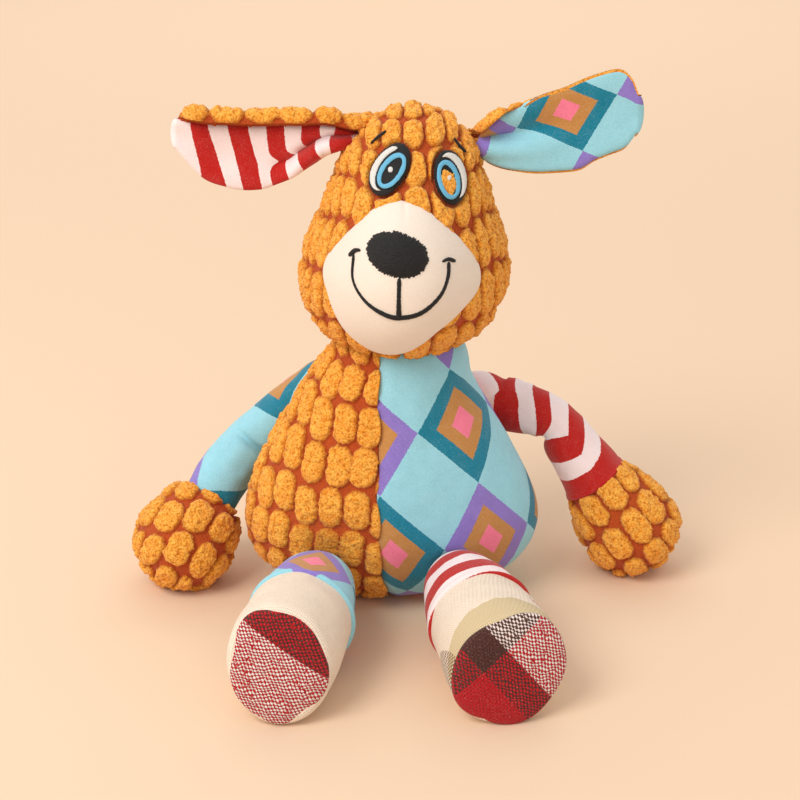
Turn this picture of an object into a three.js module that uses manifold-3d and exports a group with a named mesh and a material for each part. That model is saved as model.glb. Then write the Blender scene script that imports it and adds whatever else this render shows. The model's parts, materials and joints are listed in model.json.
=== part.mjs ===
// Seated patchwork plush dog with a squeaker in its belly.
// Millimetres, +Z up, the dog faces -Y. "right" and "left" are the dog's own sides: right is -X.
// Soft forms are lofts of rings. Each cover is the form less the same form drawn in by the cloth's thickness.
import * as THREE from 'three';
import { mergeVertices } from 'three/addons/utils/BufferGeometryUtils.js';
import Module from 'manifold-3d';

const wasm = await Module();
wasm.setup();
const V = (x, y, z) => new THREE.Vector3(x, y, z);

// Sizes
const GAP = 0.3;              // between pieces that touch
const WALL = 2.2;             // a cover: cloth with its backing
const SEAM_X = -5;            // centre-front seam of the torso
const TORSO_W = 71;           // half width of the belly
const TORSO_D = 43;           // half depth of the belly
const TORSO_Y = 58;           // belly centre behind the drawing's front plane
const NECK = V(4, 60, 106);   // centre of the neck ball
const NECK_R = 34;
const NECK_SEAT = 0.4;        // between neck ball and head
const HEAD_H = 110;
const HEAD_W = 45.5;          // half width scale of the egg
const HEAD_D = 43;            // half depth scale of the egg
const HEAD_RISE = 69;         // head centre above the neck ball's centre
const HEAD_X = 7.5;
const HEAD_EGG = 0.24;        // wider below
const HEAD_BLUNT = 0.8;
const HEAD_LEAN = 0.05;
const TEMPLE_RISE = 18;       // narrowest place of the temples above the head's centre
const TEMPLE_H = 23;          // reach of the temples' narrowing up and down
const TEMPLE = 0.115;         // the narrowing as a share of the width
const HEAD_SEAM_Y = 3;        // side seam behind the head's centre
const MUZZLE_OUT = 15;        // how far the muzzle bulges
const MUZZLE_W = 29;
const MUZZLE_H = 34;
const THREAD = 0.8;           // thickness of embroidery
const NOSE_PAD = 1.8;
const EAR_T = 2.0;            // one layer of an ear
const EAR_ROOT = 2.2;         // rounding of the ear's root about its seam
const ARM_ROOT_R = 9;
const ARM_R = 13;
const ELBOW_R = 12.4;
const UPPER_L = 45;
const FORE_L = 28;            // elbow to wrist
const SLEEVE = 1.8;           // wall of the lower sleeve
const CUP_L = 9;              // elbow to the lower sleeve's edge
const PAW_R = 23.8;
const PAW_L = 55;
const HIP_R = 18;
const LEG_R = 22.5;
const LEG_L = 66;
const CUFF_AT = 0.40;         // cuff's edge, as a share of the leg
const SOLE_W = 21.5;          // half width
const SOLE_H = 25.5;          // half height
const SOLE_T = 2.4;
const SQ = V(0, 57, 50);      // squeaker's centre
const SQ_R = 22;
const SQ_T = 24;
const SQ_WALL = 1.4;
const SQ_TRAVEL = 8;
const REED_R = 5.4;
const REED_BORE = 3.5;
const REED_L = 16;
const REED_T = 0.8;
const FAR = 400;              // beyond the toy on every side, for cuts by a plane

// Torso ring heights with half width and half depth as shares of the belly's, up to the neck ball
const BELLY = {
  z: [0, 3, 9, 20, 32, 44, 58, 74, 90, 106],
  w: [0.37, 0.54, 0.735, 0.92, 0.985, 0.97, 0.9, 0.8, 0.7, 0.58],
  d: [0.37, 0.52, 0.7, 0.88, 0.975, 1, 0.97, 0.91, 0.85, 0.802],
};
const BALL_ANGLES = [72, 54, 36, 18];
const AROUND = { torso: 24, torsoFill: 12, head: 28, arm: 12, leg: 16, legFill: 8 };
const HEAD_RINGS = 13;

// Palette
const ORANGE = 0xe39a35;
const PRINT = 0xa3d8e0;
const STRIPE = 0xba1a12;
const CREAM = 0xf3e7dc;
const LINEN = 0xf0dfcb;
const PLAID = 0x9c2427;
const BLACK = 0x171412;
const WHITE = 0xf4f2ee;
const BLUE = 0x5aaed2;
const FILL = 0xf1efe8;
const BRASS = 0xb8923a;

// A closed loft: rings of equal count, each end closed on a point
function loft(rings, first, last) {
  const n = rings[0].length;
  const pts = rings.flat();
  const index = [];
  const a = pts.push(first) - 1;
  const b = pts.push(last) - 1;
  for (let i = 0; i + 1 < rings.length; i++) {
    for (let j = 0; j < n; j++) {
      const k = (j + 1) % n;
      index.push(i * n + j, i * n + k, (i + 1) * n + k, i * n + j, (i + 1) * n + k, (i + 1) * n + j);
    }
  }
  const m = (rings.length - 1) * n;
  for (let j = 0; j < n; j++) {
    const k = (j + 1) % n;
    index.push(a, k, j, b, m + j, m + k);
  }
  const g = new THREE.BufferGeometry();
  g.setAttribute('position', new THREE.Float32BufferAttribute(pts.flatMap((p) => [p.x, p.y, p.z]), 3));
  g.setIndex(index);
  return outward(g);
}

// Turns a closed surface so that its volume is positive
function outward(g) {
  const p = g.getAttribute('position');
  const ix = g.getIndex().array;
  let v = 0;
  const c = [V(0, 0, 0), V(0, 0, 0), V(0, 0, 0)];
  for (let i = 0; i < ix.length; i += 3) {
    c.forEach((q, j) => q.fromBufferAttribute(p, ix[i + j]));
    v += c[0].dot(c[1].clone().cross(c[2]));
  }
  if (v < 0) {
    for (let i = 0; i < ix.length; i += 3) [ix[i], ix[i + 1]] = [ix[i + 1], ix[i]];
  }
  return g;
}

// The same surface moved out along its normals
function offset(g, d) {
  const o = g.clone();
  o.computeVertexNormals();
  const p = o.getAttribute('position');
  const n = o.getAttribute('normal');
  for (let i = 0; i < p.count; i++) {
    p.setXYZ(i, p.getX(i) + d * n.getX(i), p.getY(i) + d * n.getY(i), p.getZ(i) + d * n.getZ(i));
  }
  o.deleteAttribute('normal');
  return o;
}

function solid(g) {
  let s = g.clone();
  for (const name of Object.keys(s.attributes)) if (name !== 'position') s.deleteAttribute(name);
  s = mergeVertices(s, 1e-4);
  return new wasm.Manifold(new wasm.Mesh({
    numProp: 3,
    vertProperties: new Float32Array(s.getAttribute('position').array),
    triVerts: new Uint32Array(s.getIndex().array),
  }));
}

function surface(m) {
  const mesh = m.getMesh();
  const g = new THREE.BufferGeometry();
  const out = new Float32Array((mesh.vertProperties.length / mesh.numProp) * 3);
  for (let i = 0; i < out.length / 3; i++) {
    for (let k = 0; k < 3; k++) out[3 * i + k] = mesh.vertProperties[i * mesh.numProp + k];
  }
  g.setAttribute('position', new THREE.BufferAttribute(out, 3));
  g.setIndex(new THREE.BufferAttribute(new Uint32Array(mesh.triVerts), 1));
  return g;
}

// Cubic through stations, with slopes from the neighbours
function through(xs, vs, x) {
  let i = 0;
  while (i < xs.length - 2 && x > xs[i + 1]) i++;
  const slope = (k) => {
    const a = Math.max(k - 1, 0);
    const b = Math.min(k + 1, xs.length - 1);
    return (vs[b] - vs[a]) / (xs[b] - xs[a]);
  };
  const h = xs[i + 1] - xs[i];
  const s = (x - xs[i]) / h;
  return (2 * s ** 3 - 3 * s ** 2 + 1) * vs[i] + (s ** 3 - 2 * s ** 2 + s) * h * slope(i)
    + (3 * s ** 2 - 2 * s ** 3) * vs[i + 1] + (s ** 3 - s ** 2) * h * slope(i + 1);
}

// Two directions square to an axis
function across(axis, hint = V(0, 0, 1)) {
  const e1 = hint.clone().cross(axis).normalize();
  return [e1, axis.clone().cross(e1).normalize()];
}

// A body of revolution along an axis: [radius, distance] stations, ends closed
function revolve(stations, from, axis, n) {
  const [e1, e2] = across(axis);
  const at = (h) => from.clone().addScaledVector(axis, h);
  const rings = stations.filter((s) => s[0] > 1e-6).map(([r, h]) => ringAt(at(h), e1, e2, r, r, n));
  return loft(rings, at(stations[0][1]), at(stations[stations.length - 1][1]));
}

function ringAt(c, e1, e2, p, q, n) {
  return Array.from({ length: n }, (_, j) => {
    const a = (2 * Math.PI * j) / n;
    return c.clone().addScaledVector(e1, p * Math.cos(a)).addScaledVector(e2, q * Math.sin(a));
  });
}

function block(x0, x1, y0, y1, z0, z1) {
  const g = new THREE.BoxGeometry(x1 - x0, y1 - y0, z1 - z0);
  g.translate((x0 + x1) / 2, (y0 + y1) / 2, (z0 + z1) / 2);
  return solid(g);
}

// A faceted ball. As a hole it is grown until its facets, not its corners, have the radius.
function ball(c, r, n = 20, hole = false) {
  const rows = Math.round(n * 0.6);
  const grow = hole ? 1 / (Math.cos(Math.PI / n) * Math.cos(Math.PI / (2 * rows))) : 1;
  const g = new THREE.SphereGeometry(r * grow, n, rows);
  g.rotateX(Math.PI / 2);
  g.translate(c.x, c.y, c.z);
  return solid(g);
}

const root = new THREE.Group();
function add(name, body, color, roughness = 0.9) {
  const g = body instanceof THREE.BufferGeometry ? body : surface(body);
  g.computeVertexNormals();
  const mesh = new THREE.Mesh(g, new THREE.MeshStandardMaterial({ color, roughness, metalness: 0 }));
  mesh.name = name;
  root.add(mesh);
  return mesh;
}
const floor = block(-FAR, FAR, -FAR, FAR, -FAR, 0);
const joints = {};

// Torso
const torsoRingAt = (z, n) => {
  const w = TORSO_W * through(BELLY.z, BELLY.w, z);
  const d = TORSO_D * through(BELLY.z, BELLY.d, z);
  const s = THREE.MathUtils.smoothstep(z, 60, NECK.z);
  return ringAt(V(NECK.x * s, TORSO_Y + (NECK.y - TORSO_Y) * s, z), V(1, 0, 0), V(0, 1, 0), w, d, n);
};
const neckRingAt = (degrees, n) => {
  const t = THREE.MathUtils.degToRad(degrees);
  const c = V(NECK.x, NECK.y, NECK.z + NECK_R * Math.cos(t));
  return ringAt(c, V(1, 0, 0), V(0, 1, 0), NECK_R * Math.sin(t), NECK_R * Math.sin(t), n);
};
const torsoLoft = (n) => loft(
  [...BELLY.z.map((z) => torsoRingAt(z, n)), ...BALL_ANGLES.map((a) => neckRingAt(a, n))],
  V(0, TORSO_Y, 0), V(NECK.x, NECK.y, NECK.z + NECK_R),
);
const torsoForm = torsoLoft(AROUND.torso);
const torsoSkin = solid(torsoForm).subtract(solid(offset(torsoForm, -WALL)));
add('torso_cover_right', torsoSkin.intersect(block(-FAR, SEAM_X - GAP / 2, -FAR, FAR, -FAR, FAR)), ORANGE);
add('torso_cover_left', torsoSkin.intersect(block(SEAM_X + GAP / 2, FAR, -FAR, FAR, -FAR, FAR)), PRINT);

// A point of the torso's side with its outward normal
function onTorso(degrees, z) {
  const a = THREE.MathUtils.degToRad(degrees);
  const at = (da, dz) => {
    const w = TORSO_W * through(BELLY.z, BELLY.w, z + dz);
    const d = TORSO_D * through(BELLY.z, BELLY.d, z + dz);
    const s = THREE.MathUtils.smoothstep(z + dz, 60, NECK.z);
    const y = TORSO_Y + (NECK.y - TORSO_Y) * s;
    return V(NECK.x * s + w * Math.cos(a + da), y + d * Math.sin(a + da), z + dz);
  };
  const du = at(0.01, 0).sub(at(-0.01, 0));
  const dz = at(0, 0.5).sub(at(0, -0.5));
  return [at(0, 0), du.cross(dz).normalize()];
}

// Squeaker: two cups, one sliding over the other, with a reed in a holder
const back = V(0, 1, 0);
const half = SQ_T / 2;
const skirt = SQ_R - SQ_WALL - GAP;
const cupProfile = (r, from, to) => [[0, from], [r - 2, from], [r, from + 2], [r, to], [0, to]];
const cup = (r, from, to) => revolve(cupProfile(r, from, to), SQ, back, 24);
const frontCup = solid(cup(SQ_R, -half, 2)).subtract(solid(cup(SQ_R - SQ_WALL, SQ_WALL - half, 3)));
const wallY = half - SQ_WALL;
const skirtY = SQ_WALL - half + SQ_TRAVEL + 2.4;
const backProfile = [[0, skirtY], [skirt, skirtY], [skirt, half - 1.5], [skirt - 1.5, half], [0, half]];
const backShape = revolve(backProfile, SQ, back, 24);
const well = skirt - SQ_WALL;
const backHollow = revolve([[0, skirtY - 1], [well, skirtY - 1], [well, wallY], [0, wallY]], SQ, back, 24);
const reedHole = revolve([[0, 0], [REED_R + GAP, 0], [REED_R + GAP, half + 2], [0, half + 2]], SQ, back, 24);
const backCup = solid(backShape).subtract(solid(backHollow)).subtract(solid(reedHole));
const holderEnd = wallY - GAP - 1.5 - 3 + REED_L;
const holderOuter = revolve([
  [0, wallY - 4.8], [REED_R, wallY - 4.8], [REED_R, wallY - GAP - 1.5], [REED_R + 2.2, wallY - GAP - 1.5],
  [REED_R + 2.2, wallY - GAP], [REED_R, wallY - GAP], [REED_R, holderEnd], [0, holderEnd],
], SQ, back, 20);
const bore = revolve([[0, -5], [REED_BORE, -5], [REED_BORE, holderEnd + 5], [0, holderEnd + 5]], SQ, back, 20);
add('squeaker_front_cup', frontCup, WHITE, 0.35);
add('squeaker_back_cup', backCup, WHITE, 0.35);
add('squeaker_reed_holder', solid(holderOuter).subtract(solid(bore)), WHITE, 0.35);
const reedW = REED_BORE * Math.cos(Math.PI / 20) - GAP;
const reedY = SQ.y + wallY;
const reedZ = REED_T / 2;
const reed = block(SQ.x - reedW, SQ.x + reedW, reedY - 3, reedY + 8, SQ.z - reedZ, SQ.z + reedZ);
add('squeaker_reed', reed, BRASS, 0.4);
joints.squeaker = SQ.clone().add(V(0, -half, 0));

// Stuffing of torso and neck, with the squeaker's pocket
const torsoFill = solid(offset(torsoLoft(AROUND.torsoFill), -WALL - GAP));
const neckWad = NECK_R - WALL - 1.2;
const pocket = solid(revolve([
  [0, -half - GAP], [SQ_R + GAP, -half - GAP], [SQ_R + GAP, half + GAP], [REED_R + GAP, half + GAP],
  [REED_R + GAP, holderEnd + GAP], [0, holderEnd + GAP],
], SQ, back, 24));
const bodyFill = torsoFill.subtract(ball(NECK, neckWad + GAP, 20, true)).subtract(pocket);
const below = (y0, y1) => block(-FAR, FAR, y0, y1, -FAR, NECK.z + 4);
add('torso_stuffing_front', bodyFill.intersect(below(-FAR, SQ.y - GAP / 2)), FILL);
add('torso_stuffing_back', bodyFill.intersect(below(SQ.y + GAP / 2, FAR)), FILL);
add('neck_stuffing', ball(NECK, neckWad), FILL);
joints.neck = NECK.clone();

// Head
const headC = V(HEAD_X, NECK.y - 1, NECK.z + HEAD_RISE);
const muzzleC = V(headC.x - 3, 0, headC.z - 9);
function headPoint(u, t) {
  const z = headC.z - (HEAD_H / 2) * Math.cos(t);
  const r = Math.sin(t) ** HEAD_BLUNT * (1 + HEAD_EGG * Math.cos(t));
  const slim = 1 - TEMPLE * Math.exp(-(((z - headC.z - TEMPLE_RISE) / TEMPLE_H) ** 2));
  const x = headC.x + HEAD_LEAN * (z - headC.z) + HEAD_W * slim * r * Math.cos(u);
  const y = headC.y + HEAD_D * r * Math.sin(u);
  const f = Math.sqrt(Math.max(0, -Math.sin(u)));
  const q = ((x - muzzleC.x) / MUZZLE_W) ** 2 + ((z - muzzleC.z) / MUZZLE_H) ** 2;
  return V(x, y - MUZZLE_OUT * f * Math.exp(-(q ** 1.5)), z);
}
const headRings = [];
for (let i = 1; i < HEAD_RINGS; i++) {
  const n = AROUND.head;
  const t = (Math.PI * i) / HEAD_RINGS;
  headRings.push(Array.from({ length: n }, (_, j) => headPoint((2 * Math.PI * j) / n, t)));
}
const pole = (t) => headPoint(0, t);
const headForm = loft(headRings, pole(0), pole(Math.PI));
const neckHole = ball(NECK, NECK_R + NECK_SEAT, 24, true);
const headSkin = solid(headForm).subtract(solid(offset(headForm, -WALL))).subtract(neckHole);

// An outline in x and z, drawn back through the front of the head
function prism(shape, segments = 10) {
  const g = new THREE.ExtrudeGeometry(shape, { depth: FAR, bevelEnabled: false, curveSegments: segments });
  g.rotateX(Math.PI / 2);
  g.translate(0, headC.y, 0);
  return solid(g);
}
const oval = (x, z, rx, rz, turn) => {
  const s = new THREE.Shape();
  s.absellipse(x, z, rx, rz, 0, 2 * Math.PI, false, turn);
  return s;
};
// A stitched line of even width along a curve
function line(points, width, n = 12) {
  const curve = new THREE.SplineCurve(points.map(([x, z]) => new THREE.Vector2(x, z)));
  const side = (d) => Array.from({ length: n + 1 }, (_, i) => {
    const p = curve.getPoint(i / n);
    const t = curve.getTangent(i / n);
    return new THREE.Vector2(p.x - d * t.y, p.y + d * t.x);
  });
  return new THREE.Shape([...side(width / 2), ...side(-width / 2).reverse()]);
}
// The face is drawn on a head of 110 by 45.5 mm about (7.5, 175) and follows the head's size
const faceX = (x) => headC.x + ((x - 7.5) * HEAD_W) / 45.5;
const faceZ = (z) => headC.z + ((z - 175) * HEAD_H) / 110;
const at = (list) => list.map(([x, z]) => [faceX(x), faceZ(z)]);
const MUZZLE = at([
  [6.8, 199.1], [15, 196.2], [21.3, 191], [29.8, 182.9], [36.4, 174.2], [39.6, 165.5],
  [38.6, 157.8], [33.5, 150.7], [27, 143.5], [20, 135.5], [12, 129.6], [4.7, 127.6],
  [-4, 129.2], [-11, 132.5], [-17.5, 138], [-23.3, 146], [-27, 155.9], [-28.9, 164],
  [-28, 169.5], [-23.8, 177], [-16.2, 185.8], [-9.9, 192.5], [-1.5, 198],
]);
const patchShape = (grow) => {
  const c = MUZZLE.reduce((m, p) => [m[0] + p[0] / MUZZLE.length, m[1] + p[1] / MUZZLE.length], [0, 0]);
  return new THREE.Shape(MUZZLE.map(([x, z]) => {
    const d = Math.hypot(x - c[0], z - c[1]);
    return new THREE.Vector2(x + (grow * (x - c[0])) / d, z + (grow * (z - c[1])) / d);
  }));
};
const headSeamY = headC.y + HEAD_SEAM_Y;
const frontHalf = block(-FAR, FAR, -FAR, headSeamY - GAP / 2, -FAR, FAR);
const backHalf = block(-FAR, FAR, headSeamY + GAP / 2, FAR, -FAR, FAR);
add('head_front_cover', headSkin.intersect(frontHalf).subtract(prism(patchShape(GAP + 0.1))), ORANGE);
add('head_back_cover', headSkin.intersect(backHalf), ORANGE);
add('muzzle_patch', headSkin.intersect(prism(patchShape(0))), CREAM);
add('head_stuffing', solid(offset(headForm, -WALL - GAP)).subtract(neckHole), FILL);

// Embroidery lies on the cover: a layer between two offsets of the head, cut to an outline
const layer = (from, to) => solid(offset(headForm, to)).subtract(solid(offset(headForm, from)));
const thread = layer(GAP, GAP + THREAD);
const over = layer(2 * GAP + THREAD, 2 * GAP + 2 * THREAD);
const [noseX, noseZ] = at([[4.5, 178.8]])[0];
const nose = prism(oval(noseX, noseZ, 12.8, 8.7, -0.1));
add('nose_embroidery', layer(GAP, GAP + NOSE_PAD).intersect(nose), BLACK);
const smile = prism(line(at([
  [-13.4, 177.5], [-13.6, 167.5], [-8.8, 160.1], [-1.5, 155.6], [4.5, 154.4],
  [13, 156.3], [20.2, 162.3], [23.3, 169], [23.8, 175],
]), 1.5, 22));
const philtrum = prism(line(at([[4.5, 169.4], [4.3, 162], [4.3, 154]]), 1.6, 4));
const dimple1 = prism(line(at([[-15.6, 175.8], [-13, 178.6], [-10.6, 179.4]]), 1.3, 4));
const dimple2 = prism(line(at([[21, 175.6], [23.8, 175.9], [26.8, 174.2]]), 1.3, 4));
add('mouth_embroidery', thread.intersect(smile.add(philtrum).add(dimple1).add(dimple2)), BLACK);
function eye(side, x, z, rx, rz, turn, outer) {
  const [[cx, cz]] = at([[x, z]]);
  const base = prism(oval(cx, cz, rx, rz, turn));
  add(`${side}_eye_base`, thread.intersect(base), BLACK, 0.6);
  const inner = prism(oval(cx, cz, rx - 1.2, rz - 1.4, turn));
  const iris = [cx - 1.5 * outer, cz - 1.2];
  const ring = prism(oval(iris[0], iris[1], rx - 2.9, rz - 3, turn));
  const pupil = prism(oval(iris[0], iris[1], rx - 4.9, rz - 5.2, turn));
  const white = inner.subtract(prism(oval(iris[0], iris[1], rx - 2.3, rz - 2.3, turn)))
    .intersect(prism(oval(cx + 2.4 * outer, cz, rx - 1.6, rz + 1, turn)));
  add(`${side}_eye_white`, over.intersect(white), WHITE, 0.6);
  add(`${side}_eye_iris`, over.intersect(ring.subtract(pupil)), BLUE, 0.6);
}
eye('right', -0.1, 209, 7.6, 9.8, -0.36, -1);
eye('left', 26.2, 205.2, 7.0, 10.4, 0.3, 1);
const brow = (points) => thread.intersect(prism(line(at(points), 1.5, 5)));
add('right_brow', brow([[-8.2, 216.8], [-6.4, 219.6], [-3.4, 221.4]]), BLACK);
add('left_brow', brow([[28, 219.6], [30.8, 217.6], [32.6, 214.4]]), BLACK);

// Ears: a front and a back layer, drawn outward from a seam on the head's side
// out: [sideways, up, half width] stations from the root to the tip; close: how much nearer the seam lies
function ear(side, u, t, out, colour, close) {
  const p = headPoint(u, t);
  const up = headPoint(u, t + 0.05).sub(headPoint(u, t - 0.05)).setY(0).normalize();
  const n = V(-up.z, 0, up.x).multiplyScalar(side === 'right' ? 1 : -1);
  const seat = p.clone().setY(headC.y + HEAD_SEAM_Y).addScaledVector(n, EAR_ROOT + GAP - close);
  const s = out.map((_, i) => i / (out.length - 1));
  const value = (k, q) => through(s, out.map((o) => o[k]), q);
  const rootRows = [-2.05, -1.3, 0].map((d) => [0, d]);
  const rows = rootRows.concat([0.12, 0.27, 0.42, 0.57, 0.72, 0.85, 0.94, 1].map((q) => [q, 0]));
  const ring = (q, d, front) => {
    const c = seat.clone().add(V(value(0, q), -3 * q, value(1, q))).addScaledVector(n, d);
    const [q0, q1] = [q - 0.02, Math.min(1, q + 0.02)];
    const ahead = V(value(0, q1) - value(0, q0), 0, value(1, q1) - value(1, q0));
    const w = V(-ahead.z, 0, ahead.x).normalize();
    if (w.z < 0) w.negate();
    const dir = up.clone().lerp(w, THREE.MathUtils.smoothstep(q, 0, 0.3)).normalize();
    const shrink = d < 0 ? Math.sqrt(1 - (d / EAR_ROOT) ** 2) : 1;
    const half = value(2, q) + (front ? 0 : 0.8 * Math.min(1, q * 4));
    const face = [];
    const rim = [];
    for (let i = 0; i <= 6; i++) {
      const v = -1 + i / 3;
      const cupped = -2.2 * v * v * THREE.MathUtils.smoothstep(q, 0, 0.4);
      const o = c.clone().addScaledVector(dir, v * half).add(V(0, cupped, 0));
      const thick = EAR_T * shrink * (1 - 0.45 * v ** 4);
      face.push(o.clone().add(V(0, front ? -GAP / 2 - thick : GAP / 2 + thick, 0)));
      rim.unshift(o.clone().add(V(0, front ? -GAP / 2 : GAP / 2, 0)));
    }
    return face.concat(rim);
  };
  for (const front of [true, false]) {
    const rings = rows.map(([q, d]) => ring(q, d, front));
    const mid = (r) => r.reduce((m, x) => m.addScaledVector(x, 1 / r.length), V(0, 0, 0));
    const flap = loft(rings, mid(rings[0]), mid(rings[rings.length - 1]));
    add(`${side}_ear_${front ? 'front' : 'back'}`, flap, front ? colour : ORANGE);
  }
  joints[`${side}_ear`] = seat;
  joints[`${side}_ear_axis`] = up;
}
const earAt = (rise) => Math.acos(-rise / (HEAD_H / 2));
const RIGHT_EAR = [[0, 0, 6.5], [-18, -2.2, 13], [-37, -6.2, 16.8], [-57, -3.4, 13.4], [-72.5, 5.5, 4.5]];
const LEFT_EAR = [
  [0, 0, 6.5], [12, 2.6, 11.6], [26, 5.2, 16.2], [40.5, 8.6, 18.8], [54, 13.6, 16.4], [64.5, 19.5, 6],
];
ear('right', Math.PI, earAt(40), RIGHT_EAR, STRIPE, -0.1);
ear('left', 0, earAt(37), LEFT_EAR, PRINT, 0.6);

// Arms: shoulder on the torso, elbow ball, lower sleeve with a paw
function arm(side, degrees, z, upper, fore, colour) {
  const [p, n] = onTorso(degrees, z);
  const s = p.clone().addScaledVector(n, ARM_ROOT_R + GAP);
  const u = upper.clone().normalize();
  const f = fore.clone().normalize();
  const e = s.clone().addScaledVector(u, UPPER_L);
  const arc = (r, h, a0, a1) => [0, 1, 2, 3].map((i) => {
    const a = THREE.MathUtils.degToRad(a0 + ((a1 - a0) * i) / 3);
    return [r * Math.cos(a), h + r * Math.sin(a)];
  });
  const tidy = (list) => list.map(([r, h]) => [Math.abs(r) < 1e-6 ? 0 : r, h]);
  const swell = [[(ARM_ROOT_R + 2 * ARM_R) / 3, 0.31 * UPPER_L], [ARM_R, 0.6 * UPPER_L]];
  const shape = tidy([...arc(ARM_ROOT_R, 0, -90, 0), ...swell, ...arc(ELBOW_R, UPPER_L, 0, 90)]);
  const outer = revolve(shape, s, u, AROUND.arm);
  const turnHole = revolve([[0, -ARM_ROOT_R - 3], [4.5, -ARM_ROOT_R - 3], [4.5, 0], [0, 0]], s, u, AROUND.arm);
  const upperSkin = solid(outer).subtract(solid(offset(outer, -WALL)));
  add(`${side}_sleeve_upper`, upperSkin.subtract(solid(turnHole)), colour);
  add(`${side}_arm_stuffing_upper`, offset(outer, -WALL - GAP), FILL);
  const along = (stations) => revolve(stations, e, f, AROUND.arm);
  const rod = (r, h0, h1) => solid(along([[0, h0], [r, h0], [r, h1], [0, h1]]));
  const tubeProfile = (r, h0, h1) => [[0, h0], [r - 0.2, h0], [r, (h0 + h1) / 2], [r, h1], [0, h1]];
  const tube = (r, h0, h1) => solid(along(tubeProfile(r, h0, h1)));
  const bare = tube(ARM_R - SLEEVE, CUP_L - 1, FORE_L + 1);
  add(`${side}_sleeve_lower`, tube(ARM_R, CUP_L, FORE_L).subtract(bare), colour);
  const k = PAW_R / 24.4;
  const flare = [[16, 2.6], [19.4, 9], [22.6, 16.6], [24.4, 24.2]];
  const wide = [...flare, [23.8, 31], [20, 37.6], [13.4, 42.4], [5.6, 45]];
  const paw = [[0, 0], [ARM_R, 0], ...wide.map(([r, h]) => [r * k, h])];
  const stretch = PAW_L / 45.5;
  const pawShape = [...paw.map(([r, h]) => [r, FORE_L + GAP + h * stretch]), [0, FORE_L + GAP + PAW_L]];
  const pawForm = along(pawShape);
  const hollow = solid(offset(pawForm, -WALL)).add(rod(ARM_R - SLEEVE, FORE_L - 2, FORE_L + 6));
  add(`${side}_paw`, solid(pawForm).subtract(hollow).subtract(floor), ORANGE);
  const wrist = rod(ARM_R - SLEEVE - GAP, CUP_L + 0.5, FORE_L + 6);
  const wad = solid(offset(pawForm, -WALL - GAP)).subtract(floor);
  add(`${side}_arm_stuffing_lower`, wrist.add(wad).subtract(ball(e, ELBOW_R + GAP, 16, true)), FILL);
  joints[`${side}_shoulder`] = s;
  joints[`${side}_elbow`] = e;
  joints[`${side}_elbow_axis`] = u.clone().cross(f).normalize();
}
arm('right', 137, 88.8, V(-0.70, 0.06, -0.72), V(-0.46, -0.62, -0.635), PRINT);
arm('left', 46, 88, V(0.83, -0.34, -0.43), V(0.60, -0.12, -0.80), STRIPE);

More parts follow.
